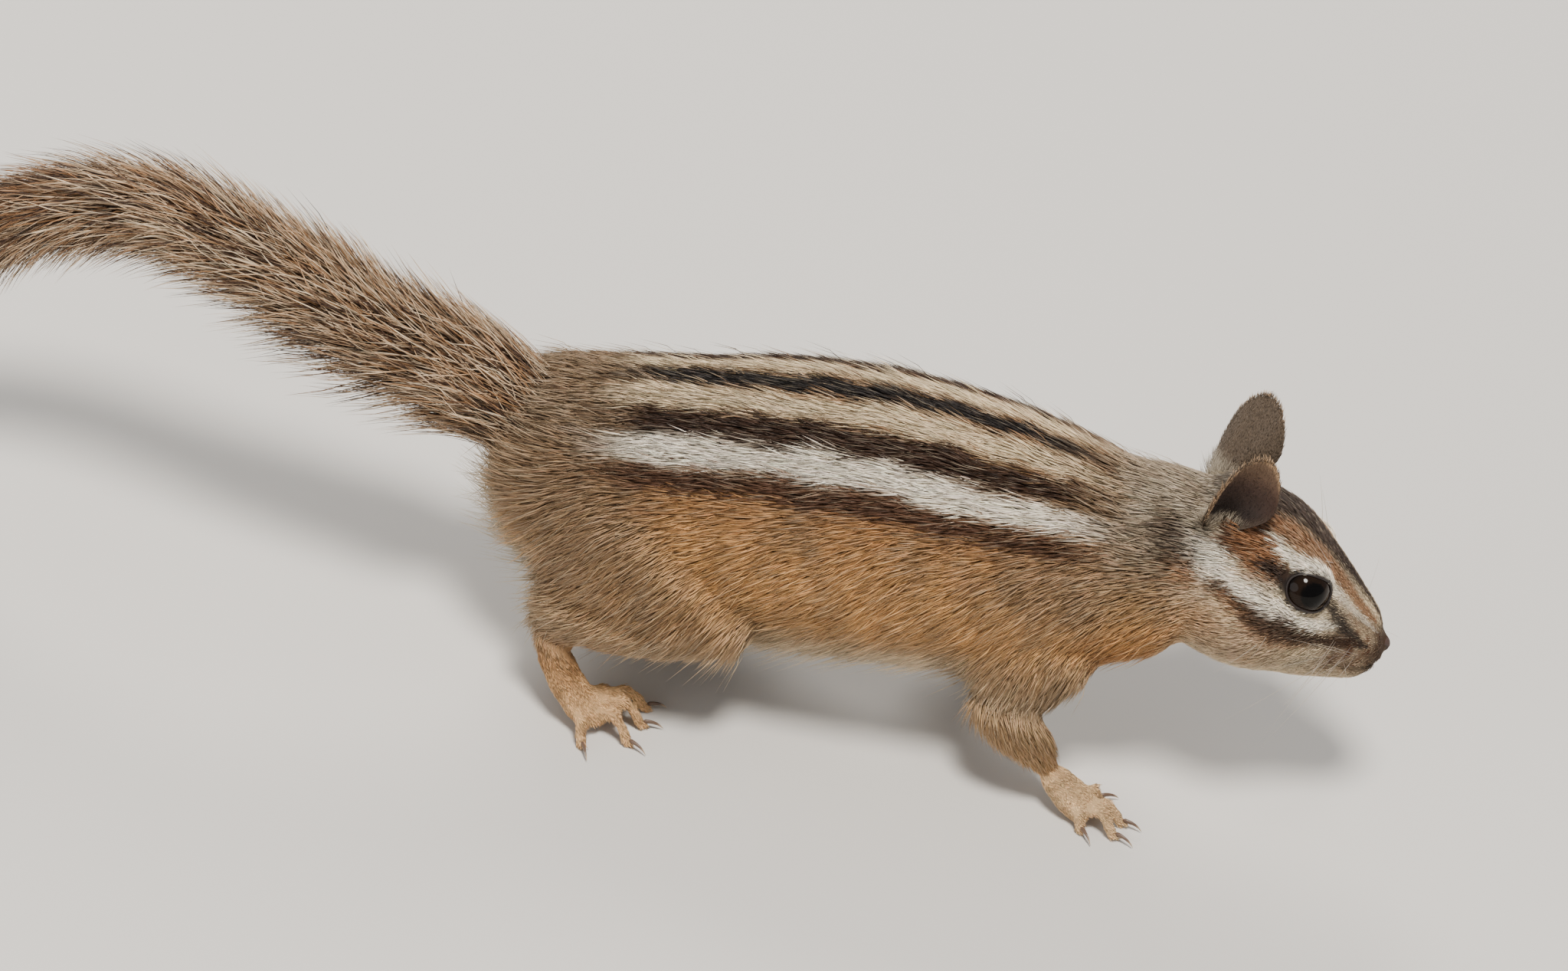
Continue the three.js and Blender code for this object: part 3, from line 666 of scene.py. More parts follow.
# %% Mix the colours
def mix(base, colour, share):
    """Colours with another laid over them, by its share at each place."""
    return base + (np.asarray(colour) - base) * np.atleast_1d(np.clip(share, 0, 1))[:, None]


def laid_over(base, *layers):
    """One colour for a start, or one a place, under any number of layers of a colour and its shares."""
    for colour, share in layers:
        base = mix(base, colour, share)
    return base


def plain(colour, points):
    """The same colour for every one of the points."""
    return np.tile(colour, (len(points), 1))


def wander(points, size, seed):
    """A smooth, steady unevenness between about -1 and 1 that changes over `size` millimetres."""
    pick = np.random.default_rng(seed)
    ways, starts = pick.normal(size=(6, 3)), pick.uniform(0, 2 * pi, 6)
    return np.sin(points @ (ways.T * 2.6 / size) + starts).mean(-1) * 1.6


def trunk_angle(points):
    """Degrees from the middle of the back, 180 at the middle of the belly."""
    rows = (TRUNK_MIDDLE, TRUNK_TOP, TRUNK_HALF)
    middle, top, half = (np.interp(points[:, 0], *zip(*row)) for row in rows)
    return np.degrees(np.arctan2(np.abs(points[:, 1]) / half, (points[:, 2] - middle) / top))


def trunk_colour(points):
    angle = trunk_angle(points) + 1.2 * wander(points, 8, 1) + 0.8 * wander(points, 2.6, 7)
    ahead = points[:, 0] + 1.5 * wander(points, 5, 9)
    colour = laid_over(
        plain(FLANK, points),
        (CREAM, ease(108, 138, angle)),
        (CINNAMON, ease(90, 54, angle) * 0.8),
        (GRIZZLE, 0.2 + 0.3 * wander(points, 5, 12)),
        (GRIZZLE, ease(-12, -36, ahead + 0.12 * (angle - 60)) * ease(125, 95, angle) * 0.75),
        (GRIZZLE, ease(12, 32, ahead) * ease(110, 70, angle) * 0.7),
    )
    fade = ease(-36, -25, ahead) * ease(43, 25, ahead)
    narrow = 1 - 0.25 * ease(10, 36, ahead) - 0.4 * ease(-24, -38, ahead)
    for middle, half, stripe in BACK_STRIPES:
        edge = np.abs(angle - middle) - half * narrow
        colour = mix(colour, stripe, ease(2.6, -2.2, edge) * fade)
    return mix(colour, GRIZZLE, ease(64, 30, angle) * (1 - fade) * 0.7)


def neck_colour(points):
    angle = trunk_angle(points) + 4 * wander(points, 4, 14)
    return laid_over(
        plain(GREY * 0.9, points),
        (GRIZZLE, 0.55 + 0.35 * wander(points, 3, 15)),
        (GRIZZLE * 0.85, ease(44, 68, angle)),
        (CINNAMON, ease(78, 102, angle)),
        (CREAM, ease(122, 150, angle) * 0.8),
    )


def head_colour(points):
    at = seen_from_head(points)
    ahead = at[:, 0] + 0.25 * wander(points, 3, 2)
    angle = np.degrees(np.arctan2(np.abs(at[:, 1]), at[:, 2] + 1)) + 1.2 * wander(points, 3, 3)
    mottle = ease(9, 13, ahead) * (0.65 + 0.35 * wander(points, 1.1, 17))
    colour = laid_over(
        plain(BUFF, points),
        (GREY, 0.4 + 0.4 * wander(points, 3, 16)),
        (UMBER * 1.3, ease(66, 52, angle) * ease(2.5, -1.5, ahead) * ease(-7.5, -5, ahead)),
        (CROWN, ease(38, 12, angle + 8 * ease(4, 14, ahead))),
        (GREY * 0.6, ease(-4, -11, ahead) * ease(60, 40, angle) * 0.7),
        (CINNAMON, ease(90, 104, angle) * ease(150, 112, angle) * ease(10, 2, ahead) * 0.4),
        (CREAM, ease(120, 142, angle) * 0.75),
        (UMBER * 1.35, mottle * ease(164, 128, angle) * ease(40, 70, angle)),
    )
    for stripe, strength, rows in HEAD_STRIPES:
        where, middle, half = (np.array(column) for column in zip(*rows))
        across = np.abs(angle - np.interp(ahead, where, middle))
        width = np.interp(ahead, where, half)
        inside = (ahead > where[0]) & (ahead < where[-1])
        strength = strength * (1 - 0.55 * (stripe is WHITE) * ease(8.5, 12, ahead))
        colour = mix(colour, stripe, strength * inside * ease(width * 1.4 + 0.6, width * 0.5, across))
    for side in SIDES.values():
        far, past, _ = beside_eye(points, side)
        colour = mix(colour, BLACK, ease(5.2, 4.4, far) * ease(8, 2, past))
    return mix(colour, UMBER * 0.55, ease(15.8, 18.2, at[:, 0]) * 0.9)


def coat_colour(points, shares):
    """The coat's colour at places on the skin, given each place's share of every region."""
    part = {name: shares[:, i] for i, name in enumerate(REGIONS)}
    body_colour = trunk_colour(points)
    haunch = mix(body_colour, GRIZZLE, 0.55 * ease(42, 58, trunk_angle(points)))
    shoulder = mix(body_colour, GRIZZLE, 0.5 * ease(44, 60, trunk_angle(points)))
    shank = mix(haunch, SHANK, ease(16, 8, points[:, 2]) * 0.8)
    high = points[:, 2]
    foot = laid_over(
        plain(PAW, points), (SHANK, ease(3, 9, high) * 0.8), (GRIZZLE, ease(7, 14, high) * 0.5)
    )
    forearm = laid_over(
        plain(GRIZZLE, points), (FLANK, 0.4), (BUFF, 0.12), (PAW, ease(11, 3.5, high) * 0.9)
    )
    made = {
        "head": head_colour(points), "neck": neck_colour(points), "trunk": body_colour, "haunch": haunch,
        "shoulder": shoulder, "shank": shank, "forearm": forearm, "hind_foot": foot,
        "fore_foot": mix(foot, BUFF, 0.3),
        "tail": plain(TAWNY, points),
    }
    colour = sum(made[name] * part[name][:, None] for name in REGIONS)
    at = mirrored(seen_from_head(points))
    for patch, strength, place, size in FACE_PATCHES:
        near = bell(length_of(at - place)[:, 0] / size)
        colour = mix(colour, patch, strength * near * (part["head"] + part["neck"]))
    return colour


skin_colour = coat_colour(points, shares)
print("mean colour:", skin_colour.mean(0).round(3))

# %% [markdown]
# ## The lie of the coat
# Hair grows backwards from the nose, down the flanks, down each leg and out along the tail. Each region
# gets a direction of its own, the shares blend them, and what points out of the skin is taken away.

# %% Comb the coat
LEG_LIES = {
    # each: where the coat of that length of a leg comes from and where it goes
    "thigh_right": ((-20, -12, 30), (-38, -12, 12)), "thigh_left": ((-20, 12, 30), (-36, 12, 12)),
    "shank_right": ((-14, -14, 20), (-38, -14, 12)), "shank_left": ((-8, 14, 20), (-31, 15, 4)),
    "hind_foot_right": ((-36, -14.4, 14), (-22, -17, 0)), "hind_foot_left": ((-34, 15.4, 4), (-8, 17, 1)),
    "upper_arm_right": ((28, -7, 34), (19, -12, 12)), "upper_arm_left": ((24, 7, 34), (9, 12, 13)),
    "forearm_right": ((21, -12, 17), (32, -14, 4)), "forearm_left": ((11, 12, 17), (17, 13, 4)),
    "fore_foot_right": ((31, -14, 6), (42, -15, 0)), "fore_foot_left": ((16, 13, 6), (28, 13.5, 0)),
}
LEG_REGION = {"thigh": "haunch", "upper_arm": "shoulder"}


def comb(points, normals, shares):
    """The way that the coat lies at places on the skin."""
    part = {name: shares[:, [i]] for i, name in enumerate(REGIONS)}
    angle = trunk_angle(points)[:, None]
    outward = np.sign(points[:, 1:2])
    droop = 0.12 + 0.75 * ease(45, 100, angle) * ease(165, 130, angle)
    trunk = unit(np.hstack([-np.ones_like(angle), 0.1 * outward * droop, -droop]))
    to_tail = ease(-34, -43, points[:, :1]) * ease(24, 34, points[:, 2:])
    trunk = trunk * (1 - to_tail) + to_tail * (-0.93, 0, 0.36)
    at = seen_from_head(points)
    cheek = ease(70, 110, np.degrees(np.arctan2(np.abs(at[:, 1]), at[:, 2] + 1)))[:, None]
    over_head = np.hstack([-np.ones_like(cheek), 0 * cheek, -0.1 - 0.3 * cheek])
    head = over_head @ HEAD_TURN.T
    lie = part["head"] * head + (part["neck"] + part["trunk"]) * trunk
    for name, (start, end) in LEG_LIES.items():
        region, side = name.rsplit("_", 1)
        here = (points[:, 1:2] > 0) == (side == "left")
        way = unit(np.array(end, float) - start)
        lie = lie + part[LEG_REGION.get(region, region)] * here * way
    along = np.interp(points[:, 0], TAIL_LINE[::-1, 0], np.arange(len(TAIL_LINE))[::-1])
    ways = unit(np.gradient(TAIL_LINE, axis=0))
    line = np.stack([np.interp(along, np.arange(len(TAIL_LINE)), ways[:, k]) for k in range(3)], -1)
    lie = lie + part["tail"] * line
    return unit(lie - normals * (lie * normals).sum(-1, keepdims=True))


lie = comb(points, normals, shares)
print("mean lie of the coat:", lie.mean(0).round(2))

# %% [markdown]
# ## An unwrap of the skin
# Each piece carries a flat map for baking its colours. A map of the skin by its own shape lays each region
# out as a strip: along it one way and round it the other. A tuft takes the place of its root.
# region out as a strip: along it one way and round it the other. A tuft takes the place of its root.

# %% Unwrap the skin
STRIPS = {
    # region: the corner of its strip and the strip's size
    "trunk": ((0.01, 0.01), (0.55, 0.44)), "head": ((0.58, 0.01), (0.4, 0.3)),
    "neck": ((0.58, 0.33), (0.4, 0.12)), "haunch": ((0.01, 0.47), (0.3, 0.25)),
    "shoulder": ((0.33, 0.47), (0.2, 0.25)), "shank": ((0.55, 0.47), (0.2, 0.25)),
    "forearm": ((0.77, 0.47), (0.21, 0.25)), "hind_foot": ((0.01, 0.74), (0.3, 0.25)),
    "fore_foot": ((0.33, 0.74), (0.25, 0.25)), "tail": ((0.6, 0.74), (0.38, 0.25)),
}


def unwrap(points, shares):
    """A place in the unit square for every place on the skin."""
    region = shares.argmax(-1)
    flat = np.zeros((len(points), 2))
    for i, name in enumerate(REGIONS):
        mine = region == i
        if not mine.any():
            continue
        at = points[mine]
        if name in ("head", "neck", "trunk", "tail"):
            here = seen_from_head(at) if name == "head" else at
            line = np.interp(here[:, 0], TAIL_LINE[::-1, 0], TAIL_LINE[::-1, 2]) if name == "tail" else 0
            middle = {"head": -1, "neck": 31, "trunk": 29.5, "tail": line}[name]
            turn = np.arctan2(here[:, 1], here[:, 2] - middle) / (2 * pi) + 0.5
            along = here[:, 0]
        else:
            left = at[:, 1] > 0
            centre = np.where(left[:, None], at[left].mean(0) if left.any() else 0, at[~left].mean(0))
            off = at - centre
            turn = (np.arctan2(off[:, 1], off[:, 2]) / (2 * pi) + 0.5) / 2 + 0.5 * left
            along = off[:, 0]
        low, high = along.min(), along.max()
        (u0, v0), (wide, tall) = STRIPS[name]
        flat[mine] = np.stack([u0 + wide * (along - low) / (high - low), v0 + tall * turn], -1)
    return flat


skin_map = unwrap(points, shares)
print("map from", skin_map.min(0).round(2), "to", skin_map.max(0).round(2))

# %% [markdown]
# ## Finishes
# All of them read the colour that each point carries, and a noise makes it a little darker and lighter.
# Fine hair is rough. The skin shows only between tufts, so its colour is painted darker, as the shade
# between them, and it has a fine bump like down.
# Lids, nose, claws and whiskers are smoother, and the eye is wet.

# %% Make the finishes
FINISHES = {
    # each: roughness, specular, the noise's scale and detail, darkest, lightest, bump's strength and height
    # painted shade: the skin's noise runs darker than the fur's, as the shade between the tufts
    "skin_under_coat": (0.8, 0.2, 900, 3, 0.5, 0.95, 0.5, 0.0002),
    "fur": (0.55, 0.35, 900, 3, 0.8, 1.25, 0, 0),
    "ear_skin": (0.65, 0.25, 900, 3, 0.75, 1.2, 0.5, 0.0002),
    "eye_gloss": (0.05, 0.22, 2500, 4, 0.7, 1.3, 0, 0),
    "lid_margin": (0.4, 0.5, 1800, 4, 0.7, 1.3, 0.3, 0.0001),
    "nose_pad": (0.62, 0.3, 2600, 4, 0.7, 1.3, 0.5, 0.00015),
    "claw_horn": (0.35, 0.5, 1500, 4, 0.8, 1.25, 0.3, 0.0001),
    "whisker_hair": (0.35, 0.5, 400, 4, 0.85, 1.15, 0, 0),
}
CORNEA_INDEX = 1.376


def new_material(name, roughness, specular):
    """A material with one Principled shader, whose plain numbers are set on its own sockets."""
    material = bpy.data.materials.new(name)
    material.use_nodes = True
    shader = material.node_tree.nodes["Principled BSDF"]
    shader.inputs["Roughness"].default_value = roughness
    shader.inputs["Specular IOR Level"].default_value = specular
    return material, material.node_tree, shader


def node(tree, kind, **values):
    """A new node with its sockets set, and whatever isn't a socket as a property."""
    made = tree.nodes.new(kind)
    for name, value in values.items():
        if name in made.inputs:
            made.inputs[name].default_value = value
        else:
            setattr(made, name.lower(), value)
    return made


def noise_of(tree, scale, detail):
    """A noise on the piece's own metres."""
    place = node(tree, "ShaderNodeTexCoord")
    noise = node(tree, "ShaderNodeTexNoise", Scale=scale, Detail=detail, Roughness=0.6)
    tree.links.new(place.outputs["Object"], noise.inputs["Vector"])
    return noise


def vary(tree, shader, colour, noise, low, high):
    """The shader's colour, made darker and lighter by the noise."""
    stretch = node(tree, "ShaderNodeMapRange")
    stretch.inputs["To Min"].default_value = low
    stretch.inputs["To Max"].default_value = high
    tree.links.new(noise.outputs["Fac"], stretch.inputs["Value"])
    shade = node(tree, "ShaderNodeVectorMath", operation="SCALE")
    tree.links.new(colour, shade.inputs[0])
    tree.links.new(stretch.outputs["Result"], shade.inputs["Scale"])
    tree.links.new(shade.outputs["Vector"], shader.inputs["Base Color"])


def bump(tree, shader, noise, strength, distance):
    raised = node(tree, "ShaderNodeBump", Strength=strength, Distance=distance)
    tree.links.new(noise.outputs["Fac"], raised.inputs["Height"])
    tree.links.new(raised.outputs["Normal"], shader.inputs["Normal"])


def coloured_finish(name, roughness, specular, scale, detail, low, high, strength, distance):
    material, tree, shader = new_material(name, roughness, specular)
    colour = node(tree, "ShaderNodeAttribute")
    colour.attribute_name = "coat_colour"
    noise = noise_of(tree, scale, detail)
    vary(tree, shader, colour.outputs["Color"], noise, low, high)
    if strength:
        bump(tree, shader, noise, strength, distance)
    return material


finish = {name: coloured_finish(name, *row) for name, row in FINISHES.items()}
finish["eye_gloss"].node_tree.nodes["Principled BSDF"].inputs["IOR"].default_value = CORNEA_INDEX
print("finishes:", ", ".join(finish))

# %% [markdown]
# ## The skin's own colour
# The skin takes the coat's colours, a little darker as painted shade between the tufts, and stands for all
# the solids of flesh and tail.

# %% Colour and dress the skin
def colour_points(mesh, colours):
    """Gives the mesh a colour a point, for its finish to read."""
    layer = mesh.color_attributes.new("coat_colour", "FLOAT_COLOR", "POINT")
    with_alpha = np.hstack([colours, np.ones((len(colours), 1))]).astype(np.float32)
    layer.data.foreach_set("color", with_alpha.ravel())


def map_points(mesh, places):
    """Gives the mesh its bake map from one place a point."""
    at_corners = places[corners_of(mesh)].astype(np.float32)
    mesh.uv_layers.new(name="OFBake").uv.foreach_set("vector", at_corners.ravel())


# painted shade: the skin gets the coat's colour made darker, as the shade between the tufts
SKIN_SHADE_BETWEEN_TUFTS = 0.8
triangles = corners_of(skin_mesh).reshape(-1, 3)
skin_mesh.polygons.foreach_set("use_smooth", [True] * len(skin_mesh.polygons))
colour_points(skin_mesh, skin_colour * SKIN_SHADE_BETWEEN_TUFTS)
bpy.data.objects.remove(skin)
flesh_nodes = flesh + ["tail_root", "tail_middle", "tail_end"]
dress("skin", skin_mesh, finish["skin_under_coat"], flesh_nodes)

# %% [markdown]
# ## Tufts
# A tuft of short hair is a closed sliver with a root in the skin, a flat three-cornered middle and a point:
# six triangles. Hundreds of thousands of them are far too many for operators, so arrays make them at once:
# each root is drawn on a triangle of the skin, and gets its normal, lie and markings from the skin there.

# %% Make tufts from arrays
def roots_on(points, triangles, density, pick):
    """Places drawn on triangles, each as its triangle and the weights of the corners."""
    corner = points[triangles]
    area = length_of(np.cross(corner[:, 1] - corner[:, 0], corner[:, 2] - corner[:, 0]))[:, 0] / 2
    expected = area * density[triangles].mean(-1)
    count = np.floor(expected + pick.random(len(expected))).astype(int)
    which = np.repeat(np.arange(len(count)), count)
    a, b = pick.random((2, len(which)))
    over = a + b > 1
    a[over], b[over] = 1 - a[over], 1 - b[over]
    return which, np.stack([1 - a - b, a, b], -1)


def at_roots(values, triangles, which, weights):
    """What the corners of the triangles have, at the places drawn on them."""
    return (values[triangles[which]] * weights[..., None]).sum(1)


def turned(vectors, axes, angle):
    """Unit vectors turned about unit axes that they are square to."""
    return vectors * np.cos(angle)[:, None] + np.cross(axes, vectors) * np.sin(angle)[:, None]


# the points of the triangles of a tuft with one three-cornered middle, and of one with two
SLIVER = np.array([(0, 3, 1), (0, 2, 3), (0, 1, 2), (4, 1, 3), (4, 3, 2), (4, 2, 1)])
LONG_SLIVER = np.array([
    (0, 3, 1), (0, 2, 3), (0, 1, 2), (1, 6, 4), (1, 3, 6), (3, 5, 6), (3, 2, 5), (2, 4, 5), (2, 1, 4),
    (7, 4, 6), (7, 6, 5), (7, 5, 4),
])
PATCH = 0.003  # how long a tuft's patch on the bake map is
FLOOR_GAP = 0.12  # the coat's hair stays this far over the floor


def sliver_mesh(name, spine, side, up, width, colours, places, thickness):
    """One mesh of tufts: `spine` has the places of each from root to tip, and `colours` a row for each."""
    count, steps = spine.shape[:2]
    rings = [spine[:, :1]]
    paints = [colours[:, :1]]
    maps = [np.zeros((count, 1, 2))]
    for step in range(1, steps - 1):
        half = (width * thickness[step])[:, None]
        middle = spine[:, step]
        rings.append(np.stack([middle - side * half, middle + side * half, middle + up * half * 0.8], 1))
        paints.append(np.repeat(colours[:, step : step + 1], 3, 1))
        rise = PATCH * step / (steps - 1)
        maps.append(np.tile([(-PATCH / 2, rise), (PATCH / 2, rise), (0.0004, rise)], (count, 1, 1)))
    rings.append(spine[:, -1:])
    paints.append(colours[:, -1:])
    maps.append(np.tile([(0.0002, PATCH)], (count, 1, 1)))
    verts = np.concatenate(rings, 1)
    each = verts.shape[1]
    faces = SLIVER if each == 5 else LONG_SLIVER
    corners = (faces[None] + each * np.arange(count)[:, None, None]).reshape(-1, 3)
    mesh = bpy.data.meshes.new(name)
    mesh.vertices.add(count * each)
    mesh.vertices.foreach_set("co", verts.astype(np.float32).ravel())
    mesh.loops.add(corners.size)
    mesh.loops.foreach_set("vertex_index", corners.astype(np.int32).ravel())
    mesh.polygons.add(len(corners))
    mesh.polygons.foreach_set("loop_start", np.arange(0, corners.size, 3, dtype=np.int32))
    mesh.polygons.foreach_set("use_smooth", [True] * len(corners))
    mesh.update(calc_edges=True)
    colour_points(mesh, np.concatenate(paints, 1).reshape(-1, 3))
    map_points(mesh, (np.concatenate(maps, 1) + places[:, None]).reshape(-1, 2))
    return mesh


def hair_spines(root, normal, way, length, rise, steps):
    """Spines that leave the skin at `rise` degrees and bend down towards it."""
    share = np.array(steps)
    climb = np.radians(rise)[:, None] * (1 - 0.75 * share[None])
    forward = np.cumsum(np.diff(share, prepend=0)[None] * np.cos(climb), 1) * length[:, None]
    height = (np.cumsum(np.diff(share, prepend=0)[None] * np.sin(climb), 1) - 0.05) * length[:, None]
    spine = root[:, None] + way[:, None] * forward[..., None] + normal[:, None] * height[..., None]
    spine[..., 2] = np.maximum(spine[..., 2], FLOOR_GAP)
    return spine


print("triangles of a short tuft:", len(SLIVER), "and of a long one:", len(LONG_SLIVER))

# %% [markdown]
# ## The short coat
# Roots are drawn over the whole skin, more where the hair is fine. The hair is longest on the rump, along
# the lower edge of the flank and haunch, and beside the ears, and shortest on the muzzle, the lids and the
# feet. A second, sparser growth gives the long guard hairs with pale tips. Each piece of the coat takes the
# roots of its own regions, so that none passes 200,000 triangles.

# %% Grow the short coat
eye_near = [beside_eye(points, side)[:2] for side in SIDES.values()]
bare = sum(ease(5.0, 4.6, far) * ease(2.5, 0.5, past) for far, past in eye_near)
bare = bare + ease(2.1, 1.7, length_of(on_head - NOSE_PLACE)[:, 0]) + sole * ease(1.6, 0.6, points[:, 2])
bare = np.clip(bare, 0, 1)
EAR_BEDS = (
    # each: a place beside the ear, how far about it the hair is longer, and by how much
    ((-7.6, 9.2, 5.6), 2.6, 0.8), ((-3.0, 7.6, 7.4), 2.0, 1.0),
)
STEPS = (0, 0.5, 1)
THICKNESS = (0, 0.5, 0)


def grow(density, longer, finer, steeper, frost):
    """Tufts over the skin: their spines, sides, normals, widths, colours, map places, regions and roots.

    Length and width are `longer` and `finer` times the table's, `steeper` is in degrees, and `frost` is how
    pale the tips are.
    """
    which, weights = roots_on(points, triangles, density * (1 - bare), draw)
    root = at_roots(points, triangles, which, weights)
    normal = unit(at_roots(normals, triangles, which, weights))
    share = at_roots(shares, triangles, which, weights)
    way = unit(at_roots(lie, triangles, which, weights))
    count = len(root)
    coat = share @ coat_rows
    at = seen_from_head(root)
    head, trunk, haunch, shoulder, shank, forearm = (
        share_of(share, name) for name in ("head", "trunk", "haunch", "shoulder", "shank", "forearm")
    )
    high = root[:, 2]
    to_bed = mirrored(at)
    by_ear = head * sum(more * bell(length_of(to_bed - bed)[:, 0] / size) for bed, size, more in EAR_BEDS)
    muzzle = ease(2, 13, at[:, 0]) * head
    low = ease(25, 14, high) * (trunk + 0.4 * haunch + 0.3 * shoulder + 0.1 * shank)
    behind = ease(-32, -42, root[:, 0]) * (trunk + haunch)
    feet = share_of(share, "forearm", "hind_foot", "fore_foot")
    upper = ease(5, 12, high) * (feet + 0.3 * ease(12, 18, high) * shank)
    wrist = ease(10, 4, high) * forearm
    by_lids = [beside_eye(root, side)[:2] for side in SIDES.values()]
    lashes = sum(ease(5.8, 5, far) * ease(16, 4, past) for far, past in by_lids)
    scale = (1 + 0.6 * low + 0.3 * behind + by_ear + 0.8 * upper) * (1 - 0.66 * muzzle)
    scale = scale * (1 - 0.45 * lashes) * (1 - 0.45 * wrist)
    length = coat[:, 1] * scale * longer * draw.uniform(0.7, 1.2, count)
    width = coat[:, 2] * finer * (1 - 0.3 * muzzle) * draw.uniform(0.75, 1.25, count)
    rise = coat[:, 4] * (1 - 0.5 * lashes) + 14 * low + (5 + steeper) * behind + 12 * by_ear + steeper
    rise = rise * draw.uniform(0.5, 1.5, count)
    swing = np.radians(8 * wander(root, 6, 5) + 5 * wander(root, 2, 6) + draw.normal(0, 7, count))
    way = turned(way, normal, swing)
    side = np.cross(way, normal)
    strayed = root + side * draw.normal(0, 0.24, (count, 1)) + way * draw.normal(0, 0.5, (count, 1))
    tint = coat_colour(strayed, share)
    tint = tint * draw.normal(1, 0.1, (count, 1)) * draw.normal(1, 0.02, (count, 3))
    tint = tint * (1 + 0.14 * wander(root, 1.6, 8)[:, None])
    bright = tint.mean(1)
    dark = draw.random(count) < 0.16 * ease(0.65, 0.15, bright)
    # pale tips, even in the darkest stripes: partly frosted hair, partly painted highlight of light on the
    # tips
    pale = (draw.random(count) < 0.06 + 0.18 * ease(0.02, 0.2, bright)) & ~dark
    middle = tint * np.where(dark, 0.55, 0.95)[:, None]
    frosted = np.where(pale, 0.4, 0) + frost * (0.4 + 0.6 * low)
    # roots darker and tips lighter than the middle of each hair: the hair's own banding, and painted shade
    # deep in the coat as well
    tip = mix(tint * np.where(dark, 0.5, 1.12)[:, None], FROST, frosted)
    base = tint * np.where(bright > 0.4, 0.6, 0.4)[:, None]
    place = at_roots(skin_map, triangles, which, weights)
    spine = hair_spines(root, normal, way, length, rise, STEPS)
    hang = low * ease(0.6, -0.1, normal[:, 2]) * draw.uniform(0.4, 1.4, count) * 2.0
    spine[..., 2] = np.maximum(spine[..., 2] - hang[:, None] * np.array(STEPS) ** 2, FLOOR_GAP)
    return spine, side, normal, width, np.stack([base, middle, tip], 1), place, share.argmax(-1), root


low_edge = ease(26, 15, points[:, 2]) + ease(-30, -40, points[:, 0])
low_edge = low_edge * share_of(shares, "trunk", "haunch")
guards = share_of(shares, "neck", "trunk", "haunch", "shoulder") * 0.45 + 1.7 * np.clip(low_edge, 0, 1)
grown = [grow(shares @ coat_rows[:, 3], 1, 1, 0, 0), grow(guards, 1.4, 0.8, 10, 1)]
spine, side_way, root_normal, width, shades, root_map, region, root = (
    np.concatenate(both) for both in zip(*grown)
)
print("tufts of the short coat:", len(grown[0][0]), "and guard hairs:", len(grown[1][0]))
BACK_FROM = 30  # the back's piece is above this height, and the underside's is below it
FRONT_FROM = -12
front, above, on_right = root[:, 0] > FRONT_FROM, root[:, 2] > BACK_FROM, root[:, 1] < 0
PIECES = {
    # each: its slot, its regions, then which of their tufts it takes
    "coat_head_right": ("head_coat", ["head"], on_right),
    "coat_head_left": ("head_coat", ["head"], ~on_right),
    "coat_neck": ("flank_coat", ["neck"], True),
    "coat_back_front": ("flank_coat", ["trunk"], front & above),
    "coat_back_rear": ("flank_coat", ["trunk"], ~front & above),
    "coat_under_front": ("flank_coat", ["trunk"], front & ~above),
    "coat_under_rear": ("flank_coat", ["trunk"], ~front & ~above),
    "coat_haunches": ("haunch_coat", ["haunch"], True),
    "coat_shoulders": ("flank_coat", ["shoulder"], True),
    "coat_legs": ("foot_coat", ["shank", "forearm"], True),
    "coat_hind_feet": ("foot_coat", ["hind_foot"], True),
    "coat_fore_feet": ("foot_coat", ["fore_foot"], True),
}
for name, (slot, regions, taken) in PIECES.items():
    mine = np.isin(region, [REGIONS.index(one) for one in regions]) & taken
    rows = (values[mine] for values in (spine, side_way, root_normal, width, shades, root_map))
    dress(name, sliver_mesh(name, *rows, THICKNESS), finish["fur"])

# %% [markdown]
# ## The tail's brush
# The tail's hair is three times as long as the body's. Each tuft starts on the core, swings out as the
# solids' locks do and then runs along the tail, so its places are worked out beside the tail's line. Many
# hairs have a black band under a frosted tip, which makes the brush look speckled. Each has two middles and
# bends twice.

# %% Grow the tail
TAIL_TUFTS = 26000
ROOT_TUFTS = 4000  # of them, those that cover the tail's root
LAST_ROOT = 92
TAIL_FROM, TAIL_TO = -9, 93  # along the tail's line, where the first and the last hairs stand
NEAR_PART = 44  # the near piece ends here
DARK_TIPPED, DARK_BANDED = 0.28, 0.6  # shares of the tufts
# how far the hair stands out along the tail's line, beside what the solids' locks do
TAIL_BUSH = [(-9, 0.4), (0, 0.7), (10, 1.05), (58, 1.05), (72, 0.95), (86, 0.65)]
LONG_STEPS = np.array([0, 0.36, 0.72, 1])
LONG_THICKNESS = (0, 0.5, 0.38, 0)


def lie_out(along):
    """How far out from the tail's line a hair has come, a given way along from its root."""
    return TAIL_SPREAD * (1.25 - 0.25 * along / TAIL_HAIR) * along / TAIL_HAIR


start = np.concatenate([
    draw.uniform(TAIL_FROM, 8, ROOT_TUFTS), LAST_ROOT * draw.random(TAIL_TUFTS - ROOT_TUFTS) ** 0.92 + 1
])
start_angle = draw.uniform(0, 2 * pi, TAIL_TUFTS)
hair = TAIL_HAIR * draw.uniform(0.34, 0.84, TAIL_TUFTS)
reach = hair[:, None] * LONG_STEPS
bushy = np.interp(start, *zip(*TAIL_BUSH)) * draw.uniform(0.35, 1.6, TAIL_TUFTS)
under = ease(0.1, -0.8, np.sin(start_angle)) * ease(-6, 6, start) * ease(48, 18, start)
bushy = bushy * (1 + 0.5 * under)
core_out = np.interp(start, *zip(*TAIL_CORE))
out = core_out[:, None] * (1 - 0.3 * LONG_STEPS) * 0.85 + bushy[:, None] * lie_out(reach) * 0.85
tail_angle = start_angle[:, None] + draw.normal(0, 0.4, (TAIL_TUFTS, 1)) * LONG_STEPS
tail_spine = beside_tail(start[:, None] + reach, tail_angle, out)
